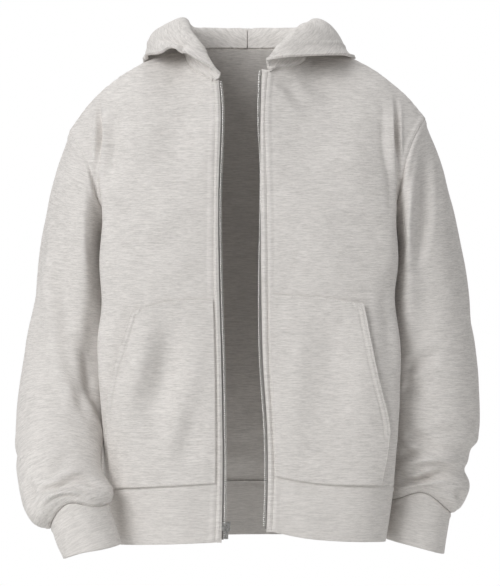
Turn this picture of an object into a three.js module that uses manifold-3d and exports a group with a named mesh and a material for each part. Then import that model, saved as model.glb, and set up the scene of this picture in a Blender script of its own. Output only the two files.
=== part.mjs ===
// Zip up hoodie in heavy fleece, in its worn form: a hollow garment of cloth walls with the zip undone.
// Millimetres, +Z up, the front faces -Y. "right" and "left" are the garment's own, so right lies at -X.
// The origin is the middle of the neck opening, where the shoulders carry the garment.
import * as THREE from "three";
import { mergeVertices } from "three/addons/utils/BufferGeometryUtils.js";
import Module from "manifold-3d";

const wasm = await Module();
wasm.setup();

// Cloth thicknesses and the gap that a seam leaves between two walls.
const FLEECE = 2.2;
const HOOD_CLOTH = 4.2;
const RIB = 3.8;
const PLACKET_CLOTH = 3.2;
const TAPE_CLOTH = 0.8;
const SEAM_GAP = 0.3;
const SHARPEST_MITRE = 0.4;
const SEAM_WALL = 2.4;
const BENT_SEAM_EASE = 0.86;
const POCKET_CLEARANCE = 0.7;

// Grid steps along each seam, which the pieces on both sides of it share.
const STEPS = { neck: 7, shoulder: 9, armhole: 10, side: 11, band: 3, sleeve: 24, cuff: 3, hoodHeight: 18 };

// Height of the underarm point, and the half width of the body where a section has its inner columns.
const UNDERARM_Z = -265;
const CHEST_X = 110;
const OUTER_X = 172;

// How the body turns in beside the sleeve: the front's point between its fold and the side seam, and the back's
// two points at its own fold.
const FRONT_TURN = { towardsSide: 0.58, behind: 0.6, forward: 8 };
const BACK_TURN = { beforeFold: 12, inside: 22, pastFold: 12 };

// Horizontal sections of the body. zipY, chestY and outerY are the front's depth at the zip, at CHEST_X and at
// OUTER_X; fold is the soft edge where the front turns in beside the sleeve; side is the side seam.
const FRONT_SECTIONS = {
  right: [
    { z: -265, chestY: -121, outerY: -108, foldX: 208, foldY: -80, sideX: 177, sideY: 18 },
    { z: -340, chestY: -120, outerY: -109, foldX: 212, foldY: -82, sideX: 168, sideY: 18 },
    { z: -430, chestY: -117, outerY: -108, foldX: 213, foldY: -78, sideX: 171, sideY: 16 },
    { z: -520, chestY: -115, outerY: -101, foldX: 206, foldY: -66, sideX: 176, sideY: 18 },
    { z: -600, chestY: -111, outerY: -88, foldX: 205, foldY: -8, sideX: 198, sideY: 26 },
    { z: -690, chestY: -105, outerY: -74, foldX: 195, foldY: -8, sideX: 190, sideY: 26 },
  ],
  left: [
    { z: -265, chestY: -121, outerY: -108, foldX: 209, foldY: -80, sideX: 177, sideY: 18 },
    { z: -340, chestY: -120, outerY: -110, foldX: 215, foldY: -83, sideX: 168, sideY: 18 },
    { z: -430, chestY: -117, outerY: -111, foldX: 218, foldY: -84, sideX: 171, sideY: 16 },
    { z: -520, chestY: -115, outerY: -109, foldX: 216, foldY: -80, sideX: 172, sideY: 16 },
    { z: -600, chestY: -112, outerY: -103, foldX: 210, foldY: -70, sideX: 176, sideY: 18 },
    { z: -690, chestY: -106, outerY: -88, foldX: 196, foldY: -48, sideX: 178, sideY: 22 },
  ],
};

// The back's depth: behind the sleeve, at CHEST_X over the blade, and on the centre line.
const BACK_SECTIONS = [
  { z: -265, foldX: 188, foldY: 92, bladeY: 123, centreY: 127 },
  { z: -340, foldX: 192, foldY: 90, bladeY: 117, centreY: 117 },
  { z: -430, foldX: 203, foldY: 88, bladeY: 110, centreY: 108 },
  { z: -520, foldX: 217, foldY: 90, bladeY: 113, centreY: 113 },
  { z: -600, foldX: 214, foldY: 86, bladeY: 118, centreY: 122 },
  { z: -690, foldX: 188, foldY: 78, bladeY: 114, centreY: 120 },
];

// Lines of each zip half from neck to hem: the placket's seam, its free edge, the row of teeth, and its depth.
const ZIP_LINES = {
  right: [
    { z: -29, seam: -47.5, edge: -40.5, teeth: -38.5, y: -66 },
    { z: -64, seam: -44.5, edge: -37.5, teeth: -35.0, y: -84 },
    { z: -102, seam: -44.8, edge: -37.8, teeth: -34.9, y: -99 },
    { z: -150, seam: -46.0, edge: -39.6, teeth: -36.8, y: -110 },
    { z: -199, seam: -46.4, edge: -41.0, teeth: -38.2, y: -117 },
    { z: -312, seam: -46.9, edge: -40.0, teeth: -36.9, y: -119 },
    { z: -426, seam: -43.4, edge: -36.8, teeth: -33.5, y: -116 },
    { z: -552, seam: -42.2, edge: -34.8, teeth: -31.4, y: -113 },
    { z: -606, seam: -42.4, edge: -34.8, teeth: -31.4, y: -112 },
    { z: -682, seam: -44.7, edge: -36.6, teeth: -33.0, y: -109 },
  ],
  left: [
    { z: -14, seam: 29.8, edge: 21.0, teeth: 19.2, y: -62 },
    { z: -58, seam: 25.4, edge: 20.0, teeth: 17.2, y: -82 },
    { z: -102, seam: 25.2, edge: 19.0, teeth: 17.6, y: -99 },
    { z: -150, seam: 26.3, edge: 19.0, teeth: 20.4, y: -110 },
    { z: -199, seam: 27.5, edge: 19.0, teeth: 20.4, y: -117 },
    { z: -312, seam: 28.6, edge: 20.2, teeth: 18.2, y: -119 },
    { z: -426, seam: 30.0, edge: 22.4, teeth: 19.4, y: -116 },
    { z: -517, seam: 34.9, edge: 28.4, teeth: 25.6, y: -114 },
    { z: -589, seam: 37.6, edge: 29.6, teeth: 27.2, y: -112 },
    { z: -667, seam: 34.9, edge: 27.2, teeth: 24.8, y: -109 },
  ],
};
const PLACKET_CROWN = 0.8;
const TAPE_INSET = 1.5;
const TAPE_END_ABOVE_HEM = 4;

// Height of the hem seam and of the band's lower edge, from the zip (0) over the side seam (1) to centre back (2).
const HEM_LINES = {
  right: [
    { at: 0, seam: -600, bottom: -682 },
    { at: 0.4, seam: -606, bottom: -686 },
    { at: 1, seam: -612, bottom: -690 },
    { at: 2, seam: -606, bottom: -686 },
  ],
  left: [
    { at: 0, seam: -590, bottom: -667 },
    { at: 0.2, seam: -600, bottom: -677 },
    { at: 0.6, seam: -604, bottom: -683 },
    { at: 1, seam: -607, bottom: -685 },
    { at: 2, seam: -606, bottom: -686 },
  ],
};

// Seam lines of the upper body, each from the first piece's corner to the last.
const NECK_FRONT = {
  right: [[-47.5, -66, -29], [-60, -55, -24], [-75, -36, -13], [-86, -11, 0], [-89, 16, 16]],
  left: [[29.8, -62, -14], [46, -53, -12], [68, -37, -8], [84, -12, 3], [89, 16, 20]],
};
const NECK_BACK = {
  right: [[-89, 16, 16], [-77, 47, 21], [-44, 68, 24], [0, 75, 24]],
  left: [[89, 16, 20], [77, 47, 24], [44, 68, 24], [0, 75, 24]],
};
const SHOULDER = {
  right: [[-89, 16, 16], [-122, 15, 11], [-151, 14, 0], [-189, 13, -25], [-229, 12, -59], [-256, 12, -100]],
  left: [[89, 16, 20], [122, 15, 16], [155, 14, 5], [192, 13, -17], [233, 12, -51], [256, 12, -80]],
};
const ARMHOLE_FRONT = {
  right: [[-256, 12, -100], [-249, -24, -110], [-232, -50, -133], [-214, -62, -157], [-197, -52, -200],
    [-183, -22, -244], [-177, 18, -265]],
  left: [[256, 12, -80], [248, -24, -92], [233, -50, -117], [215, -62, -147], [198, -52, -195],
    [183, -22, -243], [177, 18, -265]],
};
const ARMHOLE_BACK = {
  right: [[-256, 12, -100], [-251, 48, -111], [-230, 82, -142], [-208, 96, -182], [-190, 68, -238],
    [-177, 18, -265]],
  left: [[256, 12, -80], [251, 48, -94], [230, 82, -130], [208, 96, -176], [190, 68, -236], [177, 18, -265]],
};
const CENTRE_BACK = [[0, 75, 24], [0, 96, -35], [0, 117, -110], [0, 127, -190], [0, 127, -265]];

// Rings of each sleeve: its outer and inner point seen from the front, its middle's depth, and its half depth.
const SLEEVE_RINGS = {
  right: [
    { outX: -256, outZ: -100, inX: -177, inZ: -265, y: 17, deep: 80 },
    { outX: -271, outZ: -140, inX: -198, inZ: -256, y: 17, deep: 80 },
    { outX: -283, outZ: -180, inX: -200, inZ: -263, y: 17, deep: 78 },
    { outX: -292, outZ: -225, inX: -202, inZ: -277, y: 17, deep: 77 },
    { outX: -303, outZ: -292, inX: -193, inZ: -312, y: 16, deep: 77 },
    { outX: -315, outZ: -376, inX: -188, inZ: -386, y: 14, deep: 76 },
    { outX: -327, outZ: -454, inX: -191, inZ: -458, y: 3, deep: 75 },
    { outX: -333, outZ: -530, inX: -208, inZ: -520, y: -32, deep: 69 },
    { outX: -327, outZ: -584, inX: -212, inZ: -562, y: -66, deep: 61 },
    { outX: -321, outZ: -616, inX: -202, inZ: -590, y: -86, deep: 54 },
    { outX: -315, outZ: -638, inX: -189, inZ: -603, y: -97, deep: 53 },
    { outX: -303, outZ: -658, inX: -188, inZ: -617, y: -103, deep: 51 },
    { outX: -290, outZ: -666, inX: -192, inZ: -623, y: -105, deep: 46 },
    { outX: -277, outZ: -667, inX: -196, inZ: -627, y: -106, deep: 41 },
  ],
  left: [
    { outX: 256, outZ: -80, inX: 177, inZ: -265, y: 17, deep: 80 },
    { outX: 275, outZ: -128, inX: 191, inZ: -257, y: 17, deep: 80 },
    { outX: 290, outZ: -178, inX: 201, inZ: -262, y: 17, deep: 78 },
    { outX: 302, outZ: -230, inX: 204, inZ: -277, y: 17, deep: 77 },
    { outX: 316, outZ: -300, inX: 194, inZ: -312, y: 16, deep: 77 },
    { outX: 328, outZ: -380, inX: 192, inZ: -386, y: 16, deep: 76 },
    { outX: 335, outZ: -458, inX: 193, inZ: -458, y: 14, deep: 75 },
    { outX: 336, outZ: -524, inX: 197, inZ: -520, y: 11, deep: 70 },
    { outX: 325, outZ: -562, inX: 200, inZ: -558, y: 9, deep: 62 },
    { outX: 311, outZ: -583, inX: 202, inZ: -580, y: 8, deep: 56 },
    { outX: 322, outZ: -604, inX: 200, inZ: -595, y: 7, deep: 58 },
    { outX: 317, outZ: -624, inX: 197, inZ: -610, y: 6, deep: 56 },
    { outX: 307, outZ: -642, inX: 200, inZ: -621, y: 5, deep: 50 },
    { outX: 293, outZ: -648, inX: 204, inZ: -628, y: 5, deep: 42 },
  ],
};
const CUFF_RINGS = {
  right: [
    { outX: -277, outZ: -667, inX: -196, inZ: -627, y: -106, deep: 41 },
    { outX: -268, outZ: -689, inX: -186, inZ: -658, y: -110, deep: 41 },
    { outX: -257, outZ: -706, inX: -178, inZ: -684, y: -114, deep: 40 },
  ],
  left: [
    { outX: 293, outZ: -648, inX: 204, inZ: -628, y: 5, deep: 42 },
    { outX: 287, outZ: -676, inX: 201, inZ: -655, y: 3, deep: 41 },
    { outX: 283, outZ: -706, inX: 199, inZ: -684, y: 1, deep: 40 },
  ],
};

// The hood lies down: stations from the zip (0) over the shoulder (0.5) to centre back (1). At each, the cloth
// rises from the neck seam over the listed points and ends at the face edge.
const HOOD_STATIONS = {
  right: [
    { at: 0, over: [[-46, -69, -22], [-43, -71, -13]] },
    { at: 0.14, over: [[-58, -57, 4], [-60, -68, 11], [-67, -76, -2]] },
    { at: 0.29, over: [[-72, -40, 36], [-80, -52, 41], [-90, -64, 15]] },
    { at: 0.43, over: [[-86, -8, 56], [-100, -14, 60], [-120, -32, 46], [-124, -38, 29]] },
    { at: 0.5, over: [[-90, 16, 64], [-106, 15, 64], [-132, 10, 48], [-144, 0, 27], [-140, -8, 14]] },
    { at: 0.64, over: [[-86, 48, 66], [-102, 58, 64], [-132, 72, 25], [-143, 82, -16], [-152, 70, 2]] },
    { at: 0.82, over: [[-52, 76, 68], [-62, 92, 66], [-84, 126, -8], [-82, 150, -128], [-112, 164, -40],
      [-114, 146, 29]] },
    { at: 1, over: [[0, 86, 68], [0, 104, 68], [0, 131, -30], [0, 152, -158], [0, 178, -70], [0, 184, 48]] },
  ],
  left: [
    { at: 0, over: [[29, -65, -8], [28, -68, 0]] },
    { at: 0.14, over: [[43, -56, 19], [46, -67, 22], [53, -77, 3]] },
    { at: 0.29, over: [[64, -38, 45], [74, -50, 48], [92, -66, 7]] },
    { at: 0.43, over: [[84, -8, 59], [100, -14, 63], [122, -32, 46], [134, -40, 9]] },
    { at: 0.5, over: [[93, 16, 64], [110, 15, 64], [134, 8, 46], [152, -4, 17]] },
    { at: 0.64, over: [[88, 48, 66], [104, 58, 66], [134, 72, 32], [148, 82, -6], [157, 68, 12]] },
    { at: 0.82, over: [[52, 76, 68], [62, 92, 66], [84, 126, -8], [82, 150, -128], [112, 164, -40],
      [114, 146, 29]] },
    { at: 1, over: [[0, 86, 68], [0, 104, 68], [0, 131, -30], [0, 152, -158], [0, 178, -70], [0, 184, 48]] },
  ],
};

// Outlines of the pocket halves seen from the front: the top edge from the placket out, the slanted opening with
// the short side below it, and how far inside the placket seam the patch ends.
const POCKETS = {
  right: { top: [[-340, 0], [-342, 0.5], [-356, 1]], side: [[-161, -356], [-194, -478], [-190, -600]] },
  left: { top: [[-333, 0], [-336, 0.5], [-346, 1]], side: [[162, -346], [179, -435], [199, -522], [188, -594]] },
};
const POCKET_STEPS = { across: 12, down: 12 };
const POCKET_SEAM_INSET = 2;
const POCKET_GAPE = 2;

// The slider, its pull tab, and the two end fittings of the separating zip.
const SLIDER = { z: -659.5, width: 12.4, height: 13, plate: 1.2, channel: 2.8, tapeSlot: 1.5 };
const POST = { wide: 5, tall: 7.2, up: 2.6 };
const RAIL = { wide: 0.9, tall: 9.1, down: 1.3, sink: 0.1 };
const BRIDGE = { wide: 1.6, foot: 1.2, tall: 4.8, thick: 1.2, high: 3.6, sink: 0.2 };
const TAB = { wide: 6.2, long: 18, thick: 1.2, eyeWide: 2.8, eyeLong: 5.4, bar: 1.3, corner: 1.2 };
const BOX = { wide: 5.6, tall: 6.5, deep: 3.4, under: 1.2 };
const PIN = { wide: 2.2, tall: 9, deep: 2.6, bottom: -655, beside: 0.4 };

// The largest folds: soft swellings along a line, each with its half width and the push that it gives the cloth.
const FOLDS = [
  { from: [-208, -66, -170], to: [-206, -78, -280], width: 34, push: [-10, -4, 0] },
  { from: [208, -66, -160], to: [207, -78, -280], width: 34, push: [13, -5, 0] },
];

const SIDES = ["right", "left"];
const SIGN = { right: -1, left: 1 };

// Colours of the finishes.
const FINISHES = {
  fleece: { color: 0xd6d3ce, roughness: 0.95, metalness: 0 },
  rib: { color: 0xd2cfca, roughness: 0.95, metalness: 0 },
  tape: { color: 0xcfccc6, roughness: 0.9, metalness: 0 },
  metal: { color: 0xb9b9ba, roughness: 0.35, metalness: 1 },
};
const material = (finish) => new THREE.MeshStandardMaterial(FINISHES[finish]);

const lerp = THREE.MathUtils.lerp;
const vector = (p) => new THREE.Vector3(p[0], p[1], p[2]);

// A smooth value from a table: column `key` at `at`, where the column `by` runs one way through the rows.
function fromTable(rows, by, key, at) {
  const rising = rows[rows.length - 1][by] > rows[0][by];
  let k = 0;
  while (k < rows.length - 2 && (rising ? at > rows[k + 1][by] : at < rows[k + 1][by])) k += 1;
  const slope = (a, b) => (rows[b][key] - rows[a][key]) / (rows[b][by] - rows[a][by]);
  const here = slope(k, k + 1);
  const before = k > 0 ? (slope(k - 1, k) + here) / 2 : here;
  const after = k < rows.length - 2 ? (slope(k + 1, k + 2) + here) / 2 : here;
  const span = rows[k + 1][by] - rows[k][by];
  const t = THREE.MathUtils.clamp((at - rows[k][by]) / span, 0, 1);
  const cubic = (2 * t ** 3 - 3 * t ** 2 + 1) * rows[k][key] + (3 * t ** 2 - 2 * t ** 3) * rows[k + 1][key];
  return cubic + (t ** 3 - 2 * t ** 2 + t) * before * span + (t ** 3 - t ** 2) * after * span;
}

// A line through the points, cut into equal steps.
function evenly(points, steps) {
  const curve = new THREE.CatmullRomCurve3(points.map(vector), false, "centripetal");
  curve.arcLengthDivisions = 400;
  return curve.getSpacedPoints(steps);
}

// Half a body section at height z: the front from the zip seam to the side seam, or the back from there to centre.
function frontSection(side, z) {
  const value = (key) => fromTable(FRONT_SECTIONS[side], "z", key, z);
  const zip = (key) => fromTable(ZIP_LINES[side], "z", key, z);
  const s = SIGN[side];
  const turnX = lerp(value("foldX"), value("sideX"), FRONT_TURN.towardsSide);
  const turnY = lerp(value("foldY"), value("sideY"), FRONT_TURN.behind) - FRONT_TURN.forward;
  return [
    [zip("seam"), zip("y"), z],
    [s * CHEST_X, value("chestY"), z],
    [s * OUTER_X, value("outerY"), z],
    [s * value("foldX"), value("foldY"), z],
    [s * turnX, turnY, z],
    [s * value("sideX"), value("sideY"), z],
  ];
}
function backSection(side, z) {
  const value = (key) => fromTable(BACK_SECTIONS, "z", key, z);
  const s = SIGN[side];
  const sideX = fromTable(FRONT_SECTIONS[side], "z", "sideX", z);
  const sideY = fromTable(FRONT_SECTIONS[side], "z", "sideY", z);
  return [
    [s * sideX, sideY, z],
    [s * value("foldX"), value("foldY") - BACK_TURN.beforeFold, z],
    [s * (value("foldX") - BACK_TURN.inside), value("foldY") + BACK_TURN.pastFold, z],
    [s * CHEST_X, value("bladeY"), z],
    [0, value("centreY"), z],
  ];
}

// One row of body points whose height changes along it: each comes from the level section at its own height.
function bodyRow(section, side, steps, heightAt) {
  return Array.from({ length: steps + 1 }, (_, i) => evenly(section(side, heightAt(i / steps)), steps)[i]);
}

// Fills four lines that meet at their ends with a grid of points, rows from top to bottom.
function fourSided(top, bottom, first, last) {
  const across = top.length - 1;
  const down = first.length - 1;
  return first.map((_, j) =>
    top.map((__, i) => {
      const u = i / across;
      const v = j / down;
      const mix = (key) =>
        lerp(top[i][key], bottom[i][key], v) +
        lerp(first[j][key], last[j][key], u) -
        lerp(lerp(top[0][key], top[across][key], u), lerp(bottom[0][key], bottom[across][key], u), v);
      return new THREE.Vector3(mix("x"), mix("y"), mix("z"));
    }),
  );
}

const RELAX_SHARE = 0.6;
const BODY_PASSES = 4;
const HOOD_PASSES = 3;

// Evens out a grid inside its edges: each pass moves every inner point of the rows part way to its neighbours.
function relax(rows, passes, lastRow = rows.length - 2, round = false) {
  const across = rows[0].length;
  for (let pass = 0; pass < passes; pass += 1) {
    const before = rows.map((row) => row.map((p) => p.clone()));
    for (let j = 1; j <= lastRow; j += 1) {
      for (let i = round ? 0 : 1; i < (round ? across : across - 1); i += 1) {
        const middle = before[j - 1][i].clone().add(before[j + 1][i]);
        middle.add(before[j][(i + across - 1) % across]).add(before[j][(i + 1) % across]).multiplyScalar(0.25);
        rows[j][i].lerp(middle, RELAX_SHARE);
      }
    }
  }
  return rows;
}

// The seams that neighbouring pieces share.
const seams = {};
for (const side of SIDES) {
  const zipTop = ZIP_LINES[side][0].z;
  seams[side] = {
    neckFront: evenly(NECK_FRONT[side], STEPS.neck),
    neckBack: evenly(NECK_BACK[side], STEPS.neck),
    shoulder: evenly(SHOULDER[side], STEPS.shoulder),
    armholeFront: evenly(ARMHOLE_FRONT[side], STEPS.armhole),
    armholeBack: evenly(ARMHOLE_BACK[side], STEPS.armhole),
    zipUpper: Array.from({ length: STEPS.armhole + 1 }, (_, j) => {
      const z = lerp(zipTop, UNDERARM_Z, j / STEPS.armhole);
      return vector(frontSectionStart(side, z));
    }),
  };
}
function frontSectionStart(side, z) {
  return [fromTable(ZIP_LINES[side], "z", "seam", z), fromTable(ZIP_LINES[side], "z", "y", z), z];
}

// The front and one half of the back as grids: the upper part between its four seams, then level rows to the hem.
const FRONT_STEPS = STEPS.neck + STEPS.shoulder;
function bodyHalf(side, section, top, first, last, hemOffset) {
  const bottom = evenly(section(side, UNDERARM_Z), FRONT_STEPS);
  const rows = fourSided(top, bottom, first, last);
  for (let j = 1; j <= STEPS.side; j += 1) {
    const hemAt = (u) => fromTable(HEM_LINES[side], "at", "seam", hemOffset + u);
    rows.push(bodyRow(section, side, FRONT_STEPS, (u) => lerp(UNDERARM_Z, hemAt(u), j / STEPS.side)));
  }
  return relax(rows, BODY_PASSES, STEPS.armhole + 3);
}
function frontGrid(side) {
  const s = seams[side];
  const top = [...s.neckFront, ...s.shoulder.slice(1)];
  return bodyHalf(side, frontSection, top, s.zipUpper, s.armholeFront, 0);
}
function backHalfGrid(side) {
  const s = seams[side];
  const top = [...s.shoulder].reverse().concat(s.neckBack.slice(1));
  return bodyHalf(side, backSection, top, s.armholeBack, evenly(CENTRE_BACK, STEPS.armhole), 1);
}
function backGrid() {
  const right = backHalfGrid("right");
  const left = backHalfGrid("left");
  return right.map((row, j) => [...row, ...[...left[j]].reverse().slice(1)]);
}

// The hem band hangs from the hem seam all the way round, from one placket seam to the other.
function hemGrid(grids) {
  const last = (rows) => rows[rows.length - 1];
  const back = last(grids.back);
  const rows = [[...last(grids.front_right), ...back.slice(1), ...[...last(grids.front_left)].reverse().slice(1)]];
  for (let j = 1; j <= STEPS.band; j += 1) {
    const height = (side, start) => (u) => {
      const at = (key) => fromTable(HEM_LINES[side], "at", key, start + u);
      return lerp(at("seam"), at("bottom"), j / STEPS.band);
    };
    const half = (side) => [
      ...bodyRow(frontSection, side, FRONT_STEPS, height(side, 0)),
      ...bodyRow(backSection, side, FRONT_STEPS, height(side, 1)).slice(1),
    ];
    rows.push([...half("right"), ...half("left").reverse().slice(1)]);
  }
  return rows;
}

// An oval ring of a sleeve or cuff: it starts at the outer point and runs over the front to the inner point.
const RING_STEPS = 2 * STEPS.armhole;
function ovalRing(rows, at) {
  const value = (key) => fromTable(rows, "at", key, at);
  const out = new THREE.Vector3(value("outX"), value("y"), value("outZ"));
  const inner = new THREE.Vector3(value("inX"), value("y"), value("inZ"));
  const middle = out.clone().add(inner).multiplyScalar(0.5);
  const half = out.clone().sub(middle);
  return Array.from({ length: RING_STEPS }, (_, i) => {
    const turn = (i / RING_STEPS) * 2 * Math.PI;
    const point = middle.clone().addScaledVector(half, Math.cos(turn));
    point.y -= value("deep") * Math.sin(turn);
    return point;
  });
}
function tubeGrid(table, steps) {
  const rows = table.map((row, k) => ({ ...row, at: k / (table.length - 1) }));
  return Array.from({ length: steps + 1 }, (_, j) => ovalRing(rows, j / steps));
}

// A sleeve starts on the armhole seam; its first rings take on that seam's shape in these shares.
const SLEEVE_SETTLE = [1, 0.55, 0.2];
function sleeveGrid(side) {
  const rows = tubeGrid(SLEEVE_RINGS[side], STEPS.sleeve);
  const s = seams[side];
  const hole = [...s.armholeFront, ...[...s.armholeBack].reverse().slice(1, -1)];
  const toHole = hole.map((p, i) => p.clone().sub(rows[0][i]));
  SLEEVE_SETTLE.forEach((share, j) => rows[j].forEach((p, i) => p.addScaledVector(toHole[i], share)));
  return rows;
}

// The hood's half before it is evened out: rows from neck seam to face edge, columns from zip to centre back.
function hoodHalf(side) {
  const s = seams[side];
  const neck = [...s.neckFront, ...s.neckBack.slice(1)];
  const stations = [...HOOD_STATIONS[side]];
  const profiles = stations.map((row) => {
    const root = neck[Math.round(row.at * (neck.length - 1))];
    return evenly([root.toArray(), ...row.over], STEPS.hoodHeight);
  });
  const beforeLast = stations.length - 2;
  stations.push({ at: 2 - stations[beforeLast].at });
  profiles.push(profiles[beforeLast].map((p) => new THREE.Vector3(-p.x, p.y, p.z)));
  const columns = neck.map((root, i) => {
    const at = i / (neck.length - 1);
    return profiles[0].map((_, j) => {
      if (j === 0) return root.clone();
      const value = (key) => {
        const rows = stations.map((row, k) => ({ at: row.at, value: profiles[k][j][key] }));
        return fromTable(rows, "at", "value", at);
      };
      return new THREE.Vector3(value("x"), value("y"), value("z"));
    });
  });
  return profiles[0].map((_, j) => columns.map((column) => column[j]));
}

// Both halves are evened out together, so that the hood is round at its centre seam, and then parted there.
function hoodGrids() {
  const right = hoodHalf("right");
  const left = hoodHalf("left");
  const middle = right[0].length - 1;
  const whole = relax(right.map((row, j) => [...row, ...[...left[j]].reverse().slice(1)]), HOOD_PASSES);
  return {
    right: whole.map((row) => row.slice(0, middle + 1)),
    left: whole.map((row) => row.slice(middle).reverse().map((p) => p.clone())),
  };
}

// The placket strip runs down the front edge and over the band's end; its first column is their shared seam.
function placketGrid(side, grids) {
  const bandEnd = grids.hem_band.map((row) => (side === "right" ? row[0] : row[row.length - 1]));
  const seam = [...grids["front_" + side].map((row) => row[0]), ...bandEnd.slice(1)];
  return seam.map((p) => {
    const edge = fromTable(ZIP_LINES[side], "z", "edge", p.z);
    const crown = (t) => PLACKET_CROWN * Math.sin(Math.PI * t);
    return [0, 0.5, 1].map((t) => new THREE.Vector3(lerp(p.x, edge, t), p.y - crown(t), p.z));
  });
}
function tapeGrid(side, grids) {
  const behind = (PLACKET_CLOTH + TAPE_CLOTH) / 2 + SEAM_GAP;
  const rows = grids["placket_" + side];
  const end = rows[rows.length - 1][0].z + TAPE_END_ABOVE_HEM;
  return rows.map((row) => {
    const z = Math.max(row[0].z, end);
    const teeth = fromTable(ZIP_LINES[side], "z", "teeth", z);
    const inner = row[0].x - SIGN[side] * TAPE_INSET;
    return [inner, (inner + teeth) / 2, teeth].map((x) => new THREE.Vector3(x, row[0].y + behind, z));
  }).filter((row, j, all) => j === 0 || row[0].z < all[j - 1][0].z);
}

// A piece of cloth: a grid of middle points with a thickness. `flip` turns its normals, which point away from
// the wearer on every piece, and `round` closes each row on itself.
function sheet(rows, thickness, flip, round) {
  const normals = gridNormals(rows, round);
  if (flip) normals.forEach((row) => row.forEach((n) => n.negate()));
  return { rows, thickness, flip, round, normals };
}
function gridNormals(rows, round) {
  const down = rows.length - 1;
  const across = rows[0].length;
  return rows.map((row, j) =>
    row.map((_, i) => {
      const before = round ? (i + across - 1) % across : Math.max(i - 1, 0);
      const after = round ? (i + 1) % across : Math.min(i + 1, across - 1);
      const along = row[after].clone().sub(row[before]);
      const downward = rows[Math.min(j + 1, down)][i].clone().sub(rows[Math.max(j - 1, 0)][i]);
      return along.cross(downward).normalize();
    }),
  );
}

// Where pieces share a seam point they share the middle of their normals, so that their edges stay parallel.
function shareSeamNormals(pieces) {
  const keyOf = (p) => p.toArray().map((n) => n.toFixed(2)).join();
  const shared = new Map();
  for (const piece of pieces) {
    piece.own = piece.normals.map((row) => row.map((n) => n.clone()));
    piece.rows.forEach((row, j) => row.forEach((p, i) => {
      if (!onEdge(piece, i, j)) return;
      const key = keyOf(p);
      if (!shared.has(key)) shared.set(key, new THREE.Vector3());
      shared.get(key).add(piece.normals[j][i]);
    }));
  }
  for (const piece of pieces) {
    piece.rows.forEach((row, j) => row.forEach((p, i) => {
      if (!onEdge(piece, i, j)) return;
      const middle = shared.get(keyOf(p)).clone().normalize();
      const mitre = Math.max(middle.dot(piece.own[j][i]), SHARPEST_MITRE);
      piece.normals[j][i] = middle.divideScalar(mitre);
    }));
  }
}
function onEdge(piece, i, j) {
  const ends = !piece.round && (i === 0 || i === piece.rows[0].length - 1);
  return ends || j === 0 || j === piece.rows.length - 1;
}

// Draws each edge back by half the seam gap, along the cloth. Where a sleeve or the hood turns sharply off the
// body, its first row has a little more.
function drawBack(piece) {
  const { rows, normals, round } = piece;
  const down = rows.length - 1;
  const across = rows[0].length;
  const moves = [];
  const pull = (i, j, from, to, inward) => {
    const tangent = to.clone().sub(from);
    const away = tangent.cross(normals[j][i]).normalize();
    if (away.dot(inward) < 0) away.negate();
    const ease = piece.bentSeam && j === 0 ? BENT_SEAM_EASE : 0;
    moves.push([i, j, away.multiplyScalar(SEAM_GAP / 2 + ease)]);
  };
  for (const j of [0, down]) {
    for (let i = 0; i < across; i += 1) {
      const before = round ? (i + across - 1) % across : Math.max(i - 1, 0);
      const after = round ? (i + 1) % across : Math.min(i + 1, across - 1);
      const inward = rows[j === 0 ? 1 : down - 1][i].clone().sub(rows[j][i]);
      pull(i, j, rows[j][before], rows[j][after], inward);
    }
  }
  if (!round) {
    for (const i of [0, across - 1]) {
      for (let j = 0; j <= down; j += 1) {
        const inward = rows[j][i === 0 ? 1 : across - 2].clone().sub(rows[j][i]);
        pull(i, j, rows[Math.max(j - 1, 0)][i], rows[Math.min(j + 1, down)][i], inward);
      }
    }
  }
  piece.trimmed = rows.map((row) => row.map((p) => p.clone()));
  for (const [i, j, move] of moves) piece.trimmed[j][i].add(move);
}

// The closed wall of a sheet: its outer face, its inner face and the rim between them.
function wallGeometry(piece) {
  const { trimmed, normals, thickness, round, flip } = piece;
  const down = trimmed.length;
  const across = trimmed[0].length;
  const positions = [];
  for (const way of [1, -1]) {
    trimmed.forEach((row, j) => row.forEach((p, i) => {
      const wall = j === 0 ? Math.min(thickness, SEAM_WALL) : thickness;
      const at = p.clone().addScaledVector(normals[j][i], (way * wall) / 2);
      positions.push(at.x, at.y, at.z);
    }));
  }
  const id = (face, i, j) => face * down * across + j * across + (i % across);
  const faces = [];
  const quad = (a, b, c, d) => faces.push(a, b, c, a, c, d);
  const columns = round ? across : across - 1;
  for (let j = 0; j < down - 1; j += 1) {
    for (let i = 0; i < columns; i += 1) {
      quad(id(0, i, j), id(0, i + 1, j), id(0, i + 1, j + 1), id(0, i, j + 1));
      quad(id(1, i, j), id(1, i, j + 1), id(1, i + 1, j + 1), id(1, i + 1, j));
    }
  }
  for (let i = 0; i < columns; i += 1) {
    quad(id(0, i + 1, 0), id(0, i, 0), id(1, i, 0), id(1, i + 1, 0));
    quad(id(0, i, down - 1), id(0, i + 1, down - 1), id(1, i + 1, down - 1), id(1, i, down - 1));
  }
  if (!round) {
    const end = across - 1;
    for (let j = 0; j < down - 1; j += 1) {
      quad(id(0, 0, j), id(0, 0, j + 1), id(1, 0, j + 1), id(1, 0, j));
      quad(id(0, end, j + 1), id(0, end, j), id(1, end, j), id(1, end, j + 1));
    }
  }
  if (flip) {
    for (let f = 0; f < faces.length; f += 3) [faces[f + 1], faces[f + 2]] = [faces[f + 2], faces[f + 1]];
  }
  const geometry = new THREE.BufferGeometry();
  geometry.setAttribute("position", new THREE.Float32BufferAttribute(positions, 3));
  geometry.setIndex(faces);
  return geometry;
}

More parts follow.
